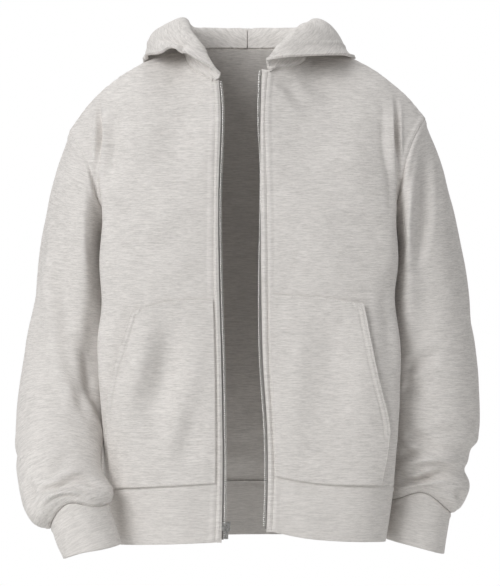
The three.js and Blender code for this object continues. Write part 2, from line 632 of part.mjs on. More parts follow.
// The place on a front panel that shows at (x, z) from the front, moved out by `lift` along the panel's normal.
function onFront(panel, x, z, lift) {
  const { rows, normals } = panel;
  for (let j = 0; j < rows.length - 1; j += 1) {
    for (let i = 0; i < rows[0].length - 1; i += 1) {
      for (const [b, c] of [[[i + 1, j], [i + 1, j + 1]], [[i + 1, j + 1], [i, j + 1]]]) {
        const corners = [[i, j], b, c];
        const [p, q, r] = corners.map(([m, n]) => rows[n][m]);
        const area = (q.x - p.x) * (r.z - p.z) - (r.x - p.x) * (q.z - p.z);
        const s = ((x - p.x) * (r.z - p.z) - (r.x - p.x) * (z - p.z)) / area;
        const t = ((q.x - p.x) * (z - p.z) - (x - p.x) * (q.z - p.z)) / area;
        if (s < -1e-6 || t < -1e-6 || s + t > 1 + 1e-6) continue;
        const blend = (list) => {
          const [a, d, e] = corners.map(([m, n]) => list[n][m]);
          return a.clone().multiplyScalar(1 - s - t).addScaledVector(d, s).addScaledVector(e, t);
        };
        const normal = blend(normals).normalize();
        if (normal.y < 0) return blend(rows).addScaledVector(normal, lift);
      }
    }
  }
  throw new Error("no front panel at " + x.toFixed(1) + ", " + z.toFixed(1));
}

// A kangaroo pocket half: its outline is filled in the front view and laid on the front panel.
function pocketGrid(side, panel) {
  const { top, side: outerEdge } = POCKETS[side];
  const down = POCKET_STEPS.down;
  const across = POCKET_STEPS.across;
  const s = SIGN[side];
  const edge = evenly(outerEdge.map(([x, z]) => [x, 0, z]), down);
  const seamX = (z) => fromTable(ZIP_LINES[side], "z", "seam", z) + s * POCKET_SEAM_INSET;
  const hemZ = (x) => hemHeight(side, x) + POCKET_SEAM_INSET;
  const topRow = top.map(([z, at]) => ({ at, z }));
  return Array.from({ length: down + 1 }, (_, j) =>
    Array.from({ length: across + 1 }, (__, i) => {
      const u = i / across;
      const v = j / down;
      const [cornerX, cornerZ] = outerEdge[outerEdge.length - 1];
      const bottomX = lerp(seamX(cornerZ), cornerX, u);
      const x = lerp(seamX(edge[j].z), edge[j].x, u);
      const topZ = fromTable(topRow, "at", "z", u);
      const bottomZ = hemZ(bottomX);
      const straight = lerp(topZ, bottomZ, v);
      const bent = edge[j].z - lerp(outerEdge[0][1], cornerZ, v);
      return onFront(panel, x, straight + u * bent, FLEECE + POCKET_CLEARANCE + POCKET_GAPE * u * u);
    }),
  );
}

// Height of the hem seam where the front shows at x.
function hemHeight(side, x) {
  const row = grids["front_" + side][grids["front_" + side].length - 1];
  for (let i = 0; i < row.length - 1; i += 1) {
    const t = (x - row[i].x) / (row[i + 1].x - row[i].x);
    if (t >= 0 && t <= 1) return lerp(row[i].z, row[i + 1].z, t);
  }
  return row[0].z;
}

// Moves a cloth point by the folds that it lies in. Pieces that share a seam point move it alike.
function foldPoint(p) {
  const moved = p.clone();
  for (const { from, to, width, push } of FOLDS) {
    const line = new THREE.Line3(vector(from), vector(to));
    const away = line.closestPointToPoint(p, true, new THREE.Vector3()).distanceTo(p);
    moved.addScaledVector(vector(push), Math.exp(-((away / width) ** 2)));
  }
  return moved;
}

// A closed geometry as a solid that can be joined and cut, and back.
function solid(geometry) {
  const bare = geometry.index ? geometry.toNonIndexed() : geometry.clone();
  bare.deleteAttribute("normal");
  bare.deleteAttribute("uv");
  const merged = mergeVertices(bare, 1e-4);
  return new wasm.Manifold(new wasm.Mesh({
    numProp: 3,
    vertProperties: merged.attributes.position.array,
    triVerts: new Uint32Array(merged.index.array),
  }));
}
function geometryOf(body) {
  const mesh = body.getMesh();
  const geometry = new THREE.BufferGeometry();
  geometry.setAttribute("position", new THREE.Float32BufferAttribute(mesh.vertProperties, 3));
  geometry.setIndex([...mesh.triVerts]);
  return geometry;
}
const block = (wide, deep, tall, x, y, z) => solid(new THREE.BoxGeometry(wide, deep, tall).translate(x, y, z));

// The slider: two plates joined by a post beside the tape, with side rails and a bridge that holds the tab.
const tapeY = (side, z) => fromTable(ZIP_LINES[side], "z", "y", z) + (PLACKET_CLOTH + TAPE_CLOTH) / 2 + SEAM_GAP;
const teethX = (side, z) => fromTable(ZIP_LINES[side], "z", "teeth", z);
function sliderPlace() {
  const x = teethX("right", SLIDER.z) + SEAM_GAP + POST.wide / 2;
  return new THREE.Vector3(x, tapeY("right", SLIDER.z), SLIDER.z);
}
function bridgePlace() {
  const p = sliderPlace();
  p.y -= SLIDER.channel / 2 + SLIDER.plate;
  return p;
}
function sliderGeometry() {
  const p = sliderPlace();
  const { width, height, plate, channel, tapeSlot } = SLIDER;
  let body = block(POST.wide, channel + 2 * plate, POST.tall, p.x, p.y, p.z + POST.up);
  const railDeep = (channel - tapeSlot + RAIL.sink) / 2;
  for (const way of [-1, 1]) {
    body = body.add(block(width, plate, height, p.x, p.y + way * (channel + plate) / 2, p.z));
    const railY = p.y + way * (channel + RAIL.sink - railDeep) / 2;
    for (const flank of [-1, 1]) {
      const railX = p.x + flank * (width - RAIL.wide) / 2;
      body = body.add(block(RAIL.wide, railDeep, RAIL.tall, railX, railY, p.z - RAIL.down));
    }
  }
  const b = bridgePlace();
  const { wide, foot, tall, thick, high, sink } = BRIDGE;
  for (const end of [-1, 1]) {
    const footZ = b.z + end * (tall - foot) / 2;
    body = body.add(block(wide, high + sink, foot, b.x, b.y - high / 2 + sink / 2, footZ));
  }
  body = body.add(block(wide, thick, tall, b.x, b.y - high + thick / 2, b.z));
  return geometryOf(body);
}

// The pull tab hangs from the bridge by the bar at the top of its eye, and swings about that bar.
function tabPivot() {
  const b = bridgePlace();
  b.y -= (BRIDGE.high - BRIDGE.thick) / 2;
  return b;
}
function tabGeometry() {
  const { wide, long, thick, eyeWide, eyeLong, bar, corner } = TAB;
  const top = bar / 2;
  const low = top - long;
  const shape = new THREE.Shape();
  shape.moveTo(-wide / 2, top);
  shape.lineTo(-wide / 2, low + corner);
  shape.absarc(-wide / 2 + corner, low + corner, corner, Math.PI, 1.5 * Math.PI, false);
  shape.absarc(wide / 2 - corner, low + corner, corner, -0.5 * Math.PI, 0, false);
  shape.lineTo(wide / 2, top);
  shape.closePath();
  const eye = new THREE.Path();
  eye.moveTo(-eyeWide / 2, -bar / 2);
  eye.lineTo(eyeWide / 2, -bar / 2);
  eye.lineTo(eyeWide / 2, -bar / 2 - eyeLong);
  eye.lineTo(-eyeWide / 2, -bar / 2 - eyeLong);
  eye.closePath();
  shape.holes.push(eye);
  const geometry = new THREE.ExtrudeGeometry(shape, { depth: thick, bevelEnabled: false, curveSegments: 4 });
  const p = tabPivot();
  return geometry.rotateX(Math.PI / 2).translate(p.x, p.y + thick / 2, p.z);
}

// The end fittings: the box below the slider on the right tape, and the pin on the left one.
function boxGeometry() {
  const top = SLIDER.z - SLIDER.height / 2 - BOX.under;
  const z = top - BOX.tall / 2;
  const x = teethX("right", z) + SEAM_GAP + BOX.wide / 2;
  return new THREE.BoxGeometry(BOX.wide, BOX.deep, BOX.tall).translate(x, tapeY("right", z), z);
}
function pinGeometry() {
  const z = PIN.bottom + PIN.tall / 2;
  const x = teethX("left", z) - SEAM_GAP - PIN.wide / 2 - PIN.beside;
  return new THREE.BoxGeometry(PIN.wide, PIN.deep, PIN.tall).translate(x, tapeY("left", z), z);
}

// All cloth grids, then the sheets from them.
const grids = { front_right: frontGrid("right"), front_left: frontGrid("left"), back: backGrid() };
grids.hem_band = hemGrid(grids);
const hoods = hoodGrids();
for (const side of SIDES) {
  grids["sleeve_" + side] = sleeveGrid(side);
  grids["cuff_" + side] = tubeGrid(CUFF_RINGS[side], STEPS.cuff);
  grids["cuff_" + side][0] = grids["sleeve_" + side][STEPS.sleeve].map((p) => p.clone());
  grids["hood_" + side] = hoods[side];
  grids["placket_" + side] = placketGrid(side, grids);
  grids["zip_tape_" + side] = tapeGrid(side, grids);
}

for (const rows of Object.values(grids)) rows.forEach((row) => row.forEach((p, i) => row[i] = foldPoint(p)));

const sheets = {};
const cut = (name, thickness, flip, round = false) => {
  sheets[name] = sheet(grids[name], thickness, flip, round);
};
cut("back", FLEECE, false);
cut("hem_band", RIB, false);
for (const side of SIDES) {
  const right = side === "right";
  cut("front_" + side, FLEECE, !right);
  cut("sleeve_" + side, FLEECE, right, true);
  cut("cuff_" + side, RIB, right, true);
  cut("hood_" + side, HOOD_CLOTH, right);
  cut("placket_" + side, PLACKET_CLOTH, right);
  cut("zip_tape_" + side, TAPE_CLOTH, right);
}
for (const side of SIDES) {
  grids["pocket_" + side] = pocketGrid(side, sheets["front_" + side]);
  cut("pocket_" + side, FLEECE, side === "left");
}
for (const side of SIDES) {
  sheets["sleeve_" + side].bentSeam = true;
  sheets["hood_" + side].bentSeam = true;
}
shareSeamNormals(Object.values(sheets));
Object.values(sheets).forEach(drawBack);

// The garment: every piece is a named mesh; the pull tab alone moves.
const hoodie = new THREE.Group();
function addPiece(name, geometry, finish) {
  const mesh = new THREE.Mesh(geometry, material(finish));
  mesh.name = name;
  hoodie.add(mesh);
}
for (const [name, piece] of Object.entries(sheets)) {
  const ribbed = name === "hem_band" || name.startsWith("cuff");
  const taped = name.startsWith("zip_tape");
  addPiece(name, wallGeometry(piece), ribbed ? "rib" : taped ? "tape" : "fleece");
}
addPiece("zip_slider", sliderGeometry(), "metal");
addPiece("zip_pull_tab", tabGeometry(), "metal");
addPiece("zip_box", boxGeometry(), "metal");
addPiece("zip_pin", pinGeometry(), "metal");

export default hoodie;
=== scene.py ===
"""Zip up hoodie in its worn form: cloth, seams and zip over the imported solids, in a plain studio."""

import math

import bmesh
import bpy
import numpy as np
from bpy.props import FloatProperty, FloatVectorProperty, IntProperty, PointerProperty
from mathutils import Matrix, Vector, noise
from mathutils.bvhtree import BVHTree
from mathutils.kdtree import KDTree


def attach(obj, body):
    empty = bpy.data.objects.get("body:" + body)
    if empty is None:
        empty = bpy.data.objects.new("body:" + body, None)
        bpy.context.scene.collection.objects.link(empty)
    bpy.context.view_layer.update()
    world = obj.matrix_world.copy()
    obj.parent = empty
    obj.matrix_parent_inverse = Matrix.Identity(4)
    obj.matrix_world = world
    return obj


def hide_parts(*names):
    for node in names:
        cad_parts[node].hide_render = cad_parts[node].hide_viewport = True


bl_info = {
    "name": "Zip up hoodie",
    "version": (1, 0, 0),
    "blender": (4, 5, 0),
    "location": "View3D > Sidebar > Hoodie",
    "description": "Builds a worn zip up hoodie in heather fleece over its solids",
    "category": "Add Mesh",
}

MM = 0.001
GARMENT = "garment"

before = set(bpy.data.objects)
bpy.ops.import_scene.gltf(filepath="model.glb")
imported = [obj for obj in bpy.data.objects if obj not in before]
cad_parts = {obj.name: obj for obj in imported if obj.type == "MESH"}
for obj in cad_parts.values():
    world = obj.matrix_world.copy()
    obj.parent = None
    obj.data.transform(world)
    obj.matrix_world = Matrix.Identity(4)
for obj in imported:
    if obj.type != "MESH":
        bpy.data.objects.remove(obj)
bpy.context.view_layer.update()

RIGHT, LEFT = "right", "left"
SIDES = (RIGHT, LEFT)

# The pieces of cloth: wall and rounding of the edge in millimetres, material slot, the flat cut in metres, and its
# area in square metres where the cut isn't a rectangle.
PIECES = {
    "front_right": dict(wall=2.2, edge=0.5, slot="fleece", flat=(0.29, 0.68), area=0.158),
    "front_left": dict(wall=2.2, edge=0.5, slot="fleece", flat=(0.29, 0.68), area=0.166),
    "back": dict(wall=2.2, edge=0.5, slot="fleece", flat=(0.66, 0.68), area=0.345),
    "sleeve_right": dict(wall=2.2, edge=0.5, slot="fleece", flat=(0.47, 0.56), area=0.212),
    "sleeve_left": dict(wall=2.2, edge=0.5, slot="fleece", flat=(0.47, 0.56), area=0.212),
    "cuff_right": dict(wall=3.8, edge=1.4, slot="rib", flat=(0.25, 0.062), area=None),
    "cuff_left": dict(wall=3.8, edge=1.4, slot="rib", flat=(0.25, 0.062), area=None),
    "hem_band": dict(wall=3.8, edge=1.4, slot="rib", flat=(1.06, 0.08), area=None),
    "hood_right": dict(wall=4.2, edge=1.5, slot="fleece", flat=(0.34, 0.26), area=0.07),
    "hood_left": dict(wall=4.2, edge=1.5, slot="fleece", flat=(0.34, 0.26), area=0.07),
    "pocket_right": dict(wall=2.2, edge=0.8, slot="fleece", flat=(0.2, 0.26), area=0.039),
    "pocket_left": dict(wall=2.2, edge=0.8, slot="fleece", flat=(0.2, 0.26), area=0.04),
    "placket_right": dict(wall=3.2, edge=1.1, slot="fleece", flat=(0.0105, 0.66), area=0.0052),
    "placket_left": dict(wall=3.2, edge=1.1, slot="fleece", flat=(0.0105, 0.66), area=0.0052),
    "zip_tape_right": dict(wall=0.8, edge=0, slot="tape", flat=(0.011, 0.65), area=0.0054),
    "zip_tape_left": dict(wall=0.8, edge=0, slot="tape", flat=(0.011, 0.65), area=0.0054),
}

# The side on Y that shows, for the pieces whose two walls are about the same size
SHOWS = {"back": 1, **{kind + side: -1 for kind in ("front_", "pocket_", "placket_", "zip_tape_") for side in SIDES}}

# The pieces that each piece is sewn to along its rim
NEIGHBOURS = {
    "back": ["front_right", "front_left", "sleeve_right", "sleeve_left", "hood_right", "hood_left", "hem_band"],
    "hem_band": ["front_right", "front_left", "back", "placket_right", "placket_left"],
}
for side, far_side in (SIDES, SIDES[::-1]):
    NEIGHBOURS.update({
        "front_" + side: ["back", "sleeve_" + side, "hood_" + side, "hem_band", "placket_" + side],
        "sleeve_" + side: ["front_" + side, "back", "cuff_" + side],
        "cuff_" + side: ["sleeve_" + side],
        "hood_" + side: ["front_" + side, "back", "hood_" + far_side],
        "placket_" + side: ["front_" + side, "hem_band"],
    })

# Creases, in groups for the pieces that they mark and the side that they are placed from: the
# points in millimetres (across, up), the half width, the depth (a ridge is negative) and where along it is deepest.
CREASES = [
    # right sleeve: the long trough down the upper arm, the ridge beside it, the elbow line, the folds above the cuff
    (["sleeve_right"], "front", [
        ([(-264, -150), (-268, -250), (-262, -340), (-252, -410), (-230, -470), (-212, -535)], 15, 6.5, 0.55),
        ([(-246, -150), (-240, -230), (-233, -310), (-226, -370)], 13, -4.5, 0.5),
        ([(-300, -330), (-298, -400), (-290, -470)], 22, 3, 0.5),
        ([(-225, -440), (-232, -480), (-246, -520)], 12, 3, 0.4),
        ([(-305, -598), (-285, -610), (-262, -604), (-240, -592), (-214, -598), (-196, -606)], 7, 7, 0.5),
        ([(-240, -555), (-262, -575), (-292, -600)], 11, 3.5, 0.5),
        ([(-312, -590), (-303, -612), (-292, -630)], 8, 4, 0.5),
        ([(-296, -640), (-272, -628), (-240, -618), (-208, -622)], 8, -6, 0.5),
        ([(-229, -341), (-223, -412), (-217, -476), (-211, -525)], 18, 8, 0.5),
        ([(-251, -383), (-237, -440), (-223, -490), (-212, -540)], 9, -4, 0.5),
    ]),
    (["sleeve_right"], "back", [
        ([(-300, -180), (-288, -280), (-262, -380)], 18, 5, 0.5),
        ([(-225, -330), (-262, -372), (-305, -392)], 12, 5, 0.5),
        ([(-222, -400), (-260, -432), (-310, -440)], 11, 4, 0.4),
        ([(-300, -520), (-270, -560), (-240, -575)], 12, 4.5, 0.6),
    ]),
    (["sleeve_right"], "right", [
        ([(-40, -240), (10, -330), (30, -420)], 20, 4, 0.5),
        ([(-80, -520), (-50, -580), (-72, -630)], 11, 4, 0.5),
    ]),
    # left sleeve: the narrow trough from the armhole, elbow creases, and the roll of cloth above the cuff
    (["sleeve_left"], "front", [
        ([(252, -110), (250, -190), (243, -265), (238, -330)], 10, 5.5, 0.4),
        ([(232, -160), (229, -230), (226, -310)], 9, -3.5, 0.5),
        ([(272, -130), (276, -220), (272, -320)], 18, -3, 0.4),
        ([(221, -443), (240, -432), (262, -421), (286, -412)], 9, 5, 0.25),
        ([(221, -460), (240, -470), (258, -476)], 14, 4, 0.2),
        ([(224, -530), (248, -540), (276, -546)], 9, 5, 0.3),
        ([(218, -556), (236, -560), (262, -558)], 7, 4, 0.3),
        ([(248, -532), (278, -530), (318, -534)], 10, 2.5, 0.5),
        ([(212, -590), (224, -600), (240, -604), (262, -594), (284, -590), (302, -598)], 6.5, 10, 0.45),
        ([(212, -578), (230, -574), (256, -566), (284, -568), (308, -580)], 8, -8, 0.5),
        ([(296, -612), (306, -624), (310, -634)], 6, 4, 0.5),
        ([(214, -618), (240, -608), (266, -612), (284, -622)], 7, -2.5, 0.5),
    ]),
    (["sleeve_left"], "back", [
        ([(300, -150), (296, -260), (272, -370)], 18, 5, 0.5),
        ([(216, -380), (258, -398), (312, -402)], 12, 5, 0.4),
        ([(220, -430), (262, -440), (300, -462)], 10, 4, 0.5),
        ([(214, -590), (250, -600), (300, -592)], 8, 5.5, 0.5),
    ]),
    (["sleeve_left"], "left", [
        ([(60, -250), (20, -350), (-10, -440)], 20, 4, 0.5),
        ([(-50, -545), (-10, -560), (50, -548)], 10, 4.5, 0.5),
    ]),
    # fronts: the crisp fold beside each sleeve, the soft drops from the chest and over the pockets
    (["front_right"], "front", [
        ([(-212, -46), (-210, -100), (-209, -158)], 4.2, 7, 0.6),
        ([(-201, -56), (-200, -110), (-200, -170), (-201, -230)], 7, -4, 0.45),
        ([(-192, -70), (-190, -130), (-192, -200)], 16, 3, 0.4),
    ]),
    (["front_right", "pocket_right"], "front", [
        ([(-104, -330), (-112, -420), (-128, -480), (-148, -560)], 22, 8, 0.55),
        ([(-138, -350), (-146, -430), (-160, -500)], 18, -3.5, 0.5),
        ([(-72, -470), (-80, -540), (-92, -592)], 16, 3, 0.6),
    ]),
    (["front_right"], "front", [
        ([(-130, -40), (-150, -110), (-158, -190)], 24, -3, 0.5),
        ([(-100, -50), (-96, -130), (-104, -210)], 22, 3, 0.5),
        ([(-70, -235), (-110, -262), (-170, -300)], 18, 2.5, 0.4),
        ([(-200, -455), (-203, -500), (-200, -560)], 8, 2.5, 0.5),
        ([(-62, -34), (-80, -60), (-104, -100)], 10, 3, 0.35),
    ]),
    (["front_left"], "front", [
        ([(213, -46), (212, -100), (211, -158)], 4.2, 7, 0.6),
        ([(203, -50), (202, -110), (203, -180), (205, -250)], 7, -4, 0.45),
        ([(60, -60), (72, -130), (70, -210)], 26, 3, 0.5),
        ([(140, -60), (150, -150), (146, -250)], 26, -2.5, 0.5),
    ]),
    (["front_left", "pocket_left"], "front", [
        ([(110, -340), (118, -430), (112, -530)], 26, 4.5, 0.5),
        ([(70, -420), (62, -500), (66, -580)], 20, -2.5, 0.6),
    ]),
    (["front_left"], "front", [
        ([(196, -300), (200, -390), (204, -470)], 12, 2.5, 0.5),
        ([(50, -26), (70, -52), (100, -84)], 11, 2.5, 0.35),
    ]),
    # back: drops from the shoulder blades, the drag lines to the armholes, and the folds over the band
    (["back"], "back", [
        ([(-60, -170), (-72, -280), (-64, -420)], 30, 5, 0.5),
        ([(72, -190), (80, -320), (70, -460)], 30, 5, 0.5),
        ([(-195, -150), (-160, -200), (-120, -270)], 20, 4.5, 0.3),
        ([(195, -145), (158, -200), (124, -262)], 20, 4.5, 0.3),
        ([(-140, -350), (-150, -450), (-138, -560)], 24, 4.5, 0.6),
        ([(146, -380), (152, -480), (140, -570)], 22, 4.5, 0.6),
        ([(-20, -400), (-8, -500), (-18, -590)], 26, 4, 0.7),
        ([(-90, -560), (-30, -574), (40, -570)], 15, 3, 0.5),
        ([(100, -574), (150, -560), (186, -530)], 14, 3.5, 0.5),
        ([(-186, -480), (-160, -540), (-118, -585)], 15, 3.5, 0.5),
    ]),
    # hood: the rolls at the neck and the drape of the lying halves
    (["hood_right"], "front", [
        ([(-130, 27), (-116, 28), (-99, 21), (-84, 8), (-74, -3)], 5, 5, 0.5),
        ([(-66, 48), (-58, 20), (-52, -6)], 9, 3, 0.5),
        ([(-84, 44), (-92, 26), (-96, 12)], 10, -3, 0.5),
    ]),
    (["hood_left"], "front", [
        ([(70, 48), (86, 40), (108, 34)], 9, 3, 0.5),
        ([(60, 40), (52, 18), (46, 4)], 9, -2.5, 0.5),
    ]),
    (["hood_right"], "back", [
        ([(-30, 20), (-46, -40), (-50, -100)], 16, 5, 0.5),
    ]),
    (["hood_left"], "back", [
        ([(28, 30), (52, -30), (44, -104)], 16, 5, 0.5),
    ]),
    (["hood_right"], "back", [
        ([(-120, 20), (-90, -20), (-70, -70)], 12, 3.5, 0.4),
    ]),
    (["hood_left"], "back", [
        ([(122, 24), (96, -14), (74, -60)], 12, 3.5, 0.4),
    ]),
]

# The axis that each side looks along, and which way
LOOK = {"front": (1, 1), "back": (1, -1), "right": (0, 1), "left": (0, -1)}

# Pulls, one row each: the pieces, the middle of the pull in millimetres, its reach each way, and the move.
# They carry the fold edges at the armholes, the arch of the sleeve ends, and the lie of the hood.
PULLS = [
    (["front_right", "sleeve_right", "back"], (-199, -60, -198), (26, 45, 40), (-8, -3, 0)),
    (["front_left", "sleeve_left", "back"], (200, -60, -205), (26, 45, 45), (9, -3, 0)),
    (["sleeve_right", "cuff_right"], (-255, -150, -655), (40, 45, 36), (0, 0, 30)),
    (["sleeve_left", "cuff_left"], (252, -37, -640), (36, 34, 32), (0, 0, 23)),
    (["sleeve_right"], (-208, -50, -548), (35, 45, 48), (7, -2, 0)),
    (["back"], (-214, 72, -550), (30, 40, 60), (-7, 0, 0)),
    (["hood_right"], (-124, -38, 22), (38, 40, 22), (0, -3, -15)),
    (["hood_right"], (-140, 20, 34), (26, 70, 22), (-7, 0, 8)),
    (["hood_right"], (-92, 20, 56), (18, 70, 16), (3, 0, 5)),
    (["hood_left"], (152, -5, 12), (14, 60, 14), (-2, 0, -6)),
    (["sleeve_right"], (-224, -30, -245), (18, 60, 75), (0, -26, 0)),
    (["sleeve_left"], (226, -30, -245), (18, 60, 75), (0, -28, 0)),
    (["sleeve_left"], (226, -25, -350), (18, 55, 60), (0, -16, 0)),
    (["pocket_right"], (-176, -70, -400), (26, 60, 70), (-1, -2, 0)),
    (["pocket_left"], (180, -70, -410), (22, 60, 70), (1, -2, 0)),
    (["hood_right"], (-44, -72, -18), (12, 12, 14), (5, 0, -8)),
]

# Middle lines of the sleeves, in millimetres: the knit's courses run round them.
SLEEVE_MIDDLES = {
    RIGHT: [(-190, 17, -80), (-236, 17, -200), (-248, 16, -300), (-252, 14, -380), (-260, 3, -455), (-269, -32, -525),
            (-266, -66, -573), (-256, -90, -612), (-238, -106, -650), (-214, -116, -705)],
    LEFT: [(200, 17, -70), (240, 17, -190), (254, 16, -305), (262, 16, -380), (265, 14, -458), (266, 11, -522),
           (262, 8, -575), (258, 7, -610), (252, 5, -640), (240, 0, -720)],
}

# The outer side of each pocket half, and which rim points count as its opening, in millimetres
POCKET_SIDE_Z = [-600, -520, -478, -435, -346]
POCKET_SIDE_X = {"pocket_right": [190, 193, 194, 183, 160], "pocket_left": [188, 199, 189, 179, 162]}
POCKET_SIDE = dict(near=6, below_top=8, above_foot=70)

# Swells of worn cloth: how long across and down, and how high, in millimetres
SWELLS = ((46.0, 95.0, 1.5), (20.0, 34.0, 0.6))

# A seam's valley, the swell beside it and the dip beyond: depth, place and half width, in millimetres
SEAM = ((0.65, 0.0, 1.6), (-0.75, 4.6, 2.6), (0.35, 9.5, 3.0))
SEAM_REACH = 26
SEWN_WITHIN = 5

# Distances of the stitch lines from the rim, in millimetres
SEAM_LINE = 2.6
POCKET_LINES = [2.2, 8.6]
POCKET_SEAM_LINE = 2.0
HOOD_LINE = 20.0
PLACKET_SEAM_LINE = 1.3
PLACKET_LINE = 1.4

# The groove under a stitch line, and the swell of the pocket's folded edge, in millimetres
GROOVE = dict(deep=1.1, wide=1.5)
POCKET_SWELL = 2.0

# One zip tooth, and the rounding of the metal parts' edges, in millimetres
TOOTH = dict(wide=3.4, tall=1.25, deep=2.8, reach=1.3, proud=0.6, edge=0.22)
METAL_EDGE = 0.45

# How far outside the part a look starts, in millimetres; the bend that parts two walls; the distance at which points
# of a solid merge, in metres
OUTSIDE = 1500
WALL_BEND = math.radians(55)
MERGE = 2e-5

# Lights: place in metres, size in metres, and power in watts where no setting gives it
LIGHTS = {
    "Key light": ((-2.3, -2.9, 1.3), 2.6, None),
    "Fill light": ((2.6, -2.6, 0.4), 2.2, None),
    "Top light": ((0.2, 0.9, 2.2), 1.8, 18),
    "Back light": ((-1.0, 3.4, 0.6), 2.4, 34),
}

# What the lights aim at, the floor, the camera's place and picture, and the strength of the soft light all round
AIM = (0, 0, -0.3)
FLOOR = dict(radius=1.45, height=-0.9)
CAMERA = dict(across=0.004, up=-0.331, sensor=24, half_height=0.416, to_front=4.94)
GLOW = dict(behind=0.5, ahead=0.16)


def length_setting(name, description, default):
    return FloatProperty(name=name, description=description, default=default, unit="LENGTH", subtype="DISTANCE")


class ClothSettings(bpy.types.PropertyGroup):
    """Cloth sizes and colours"""
    detail: IntProperty(name="Detail", description="Rounding steps of the cloth", default=3, min=1, max=3)
    crease: FloatProperty(name="Crease depth", description="Share of the creases' full depth", default=1.3, min=0,
                          max=2)
    pucker: length_setting("Pucker", "Height of the puckers along a seam", 0.00035)
    light: FloatVectorProperty(name="Light yarn", description="Lighter heather colour", default=(0.93, 0.895, 0.865),
                               subtype="COLOR", min=0, max=1)
    dark: FloatVectorProperty(name="Dark yarn", description="Darker heather colour", default=(0.54, 0.517, 0.492),
                              subtype="COLOR", min=0, max=1)


class SewingSettings(bpy.types.PropertyGroup):
    """Stitches and zip teeth"""
    stitch: length_setting("Stitch", "Length of one stitch", 0.0032)
    thread: length_setting("Thread", "Thickness of the sewing thread", 0.0006)
    tooth_pitch: length_setting("Tooth pitch", "Distance between two zip teeth", 0.0027)


class StudioSettings(bpy.types.PropertyGroup):
    """Camera and light"""
    distance: length_setting("Camera distance", "Distance of the camera", 5.0)
    key: FloatProperty(name="Key light", description="Power of the main light", default=98.0, unit="POWER")
    fill: FloatProperty(name="Fill light", description="Power of the soft light opposite", default=14.0, unit="POWER")


def face_groups(bm, sharpest):
    """Groups of faces that no edge sharper than the given angle parts, largest first."""
    left = set(bm.faces)
    groups = []
    while left:
        first = left.pop()
        group, front = [first], [first]
        while front:
            for edge in front.pop().edges:
                if len(edge.link_faces) == 2 and edge.calc_face_angle(0) < sharpest:
                    for face in edge.link_faces:
                        if face in left:
                            left.discard(face)
                            front.append(face)
                            group.append(face)
        groups.append(group)
    return sorted(groups, key=lambda group: -sum(face.calc_area() for face in group))


def keep_one_wall(bm, facing):
    """Deletes all but the wall that shows: the one that looks along facing on Y, or the larger one."""
    walls = face_groups(bm, WALL_BEND)[:2]
    shown = 0
    if facing:
        looks = [sum(face.normal.y * face.calc_area() for face in wall) * facing for wall in walls]
        shown = int(looks[1] > looks[0])
    wall_of = {face: k for k, wall in enumerate(walls) for face in wall}

    def on_wall(vert):
        share = [0.0, 0.0]
        for face in vert.link_faces:
            if face in wall_of:
                share[wall_of[face]] += face.calc_area()
        return int(share[1] > share[0])

    side = {vert: on_wall(vert) for vert in bm.verts}
    hidden = [face for face in bm.faces if any(side[vert] != shown for vert in face.verts)]
    bmesh.ops.delete(bm, geom=hidden, context="FACES")
    bmesh.ops.delete(bm, geom=[vert for vert in bm.verts if not vert.link_faces], context="VERTS")


def edge_kinds(start, guess):
    """Sorts the edges of a triangulated grid into rows, columns and diagonals, from one edge on its rim."""
    face = start.link_faces[0]
    others = [edge for edge in face.edges if edge is not start]
    kinds = {start: 0, others[0]: guess, others[1]: 3 - guess}
    front, seen = [face], {face}
    while front:
        face = front.pop()
        for edge in face.edges:
            for beyond in edge.link_faces:
                if beyond in seen:
                    continue
                seen.add(beyond)
                front.append(beyond)
                p, q = edge.verts
                at_p = next(e for e in face.edges if e is not edge and p in e.verts)
                at_q = next(e for e in face.edges if e is not edge and q in e.verts)
                for other in beyond.edges:
                    if other is not edge:
                        kinds[other] = kinds[at_p if q in other.verts else at_q]
    return kinds


def to_quads(bm):
    """Dissolves the diagonals of a triangulated grid, and drops rim faces that hang on its corners."""
    rim = [edge for edge in bm.edges if edge.is_boundary]
    for start, guess in [(edge, guess) for edge in rim[:3] for guess in (1, 2)]:
        kinds = edge_kinds(start, guess)
        if sum(kinds.get(edge) == 2 for edge in rim) <= 3:
            break
    diagonals = [edge for edge in bm.edges if kinds.get(edge) == 2 and not edge.is_boundary]
    bmesh.ops.dissolve_edges(bm, edges=diagonals, use_verts=False)
    for _ in range(2):
        stray = [f for f in bm.faces if len(f.verts) != 4 or sum(e.is_boundary for e in f.edges) > 2]
        bmesh.ops.delete(bm, geom=stray, context="FACES")
    if any(not vert.is_boundary and len(vert.link_edges) != 4 for vert in bm.verts):
        raise RuntimeError("a piece of cloth isn't a grid of quads")


def rounded(bm, name, levels):
    """The quads as a smooth mesh that keeps its corners."""
    mesh = bpy.data.meshes.new(name)
    bm.to_mesh(mesh)
    holder = new_object(name, mesh)
    rounding = holder.modifiers.new("Rounding", "SUBSURF")
    rounding.levels = rounding.render_levels = levels
    rounding.boundary_smooth = "PRESERVE_CORNERS"
    fine = bpy.data.meshes.new_from_object(holder.evaluated_get(bpy.context.evaluated_depsgraph_get()))
    bpy.data.objects.remove(holder)
    return fine


def new_object(name, data):
    made = bpy.data.objects.new(name, data)
    bpy.context.scene.collection.objects.link(made)
    return made


def column(values):
    return np.asarray(values, dtype=np.float64)


def points_of(mesh):
    flat = np.empty(len(mesh.vertices) * 3)
    mesh.vertices.foreach_get("co", flat)
    return flat.reshape(-1, 3) / MM


def normals_of(mesh):
    flat = np.empty(len(mesh.vertices) * 3, dtype=np.float32)
    mesh.vertex_normals.foreach_get("vector", flat)
    return flat.reshape(-1, 3).astype(np.float64)


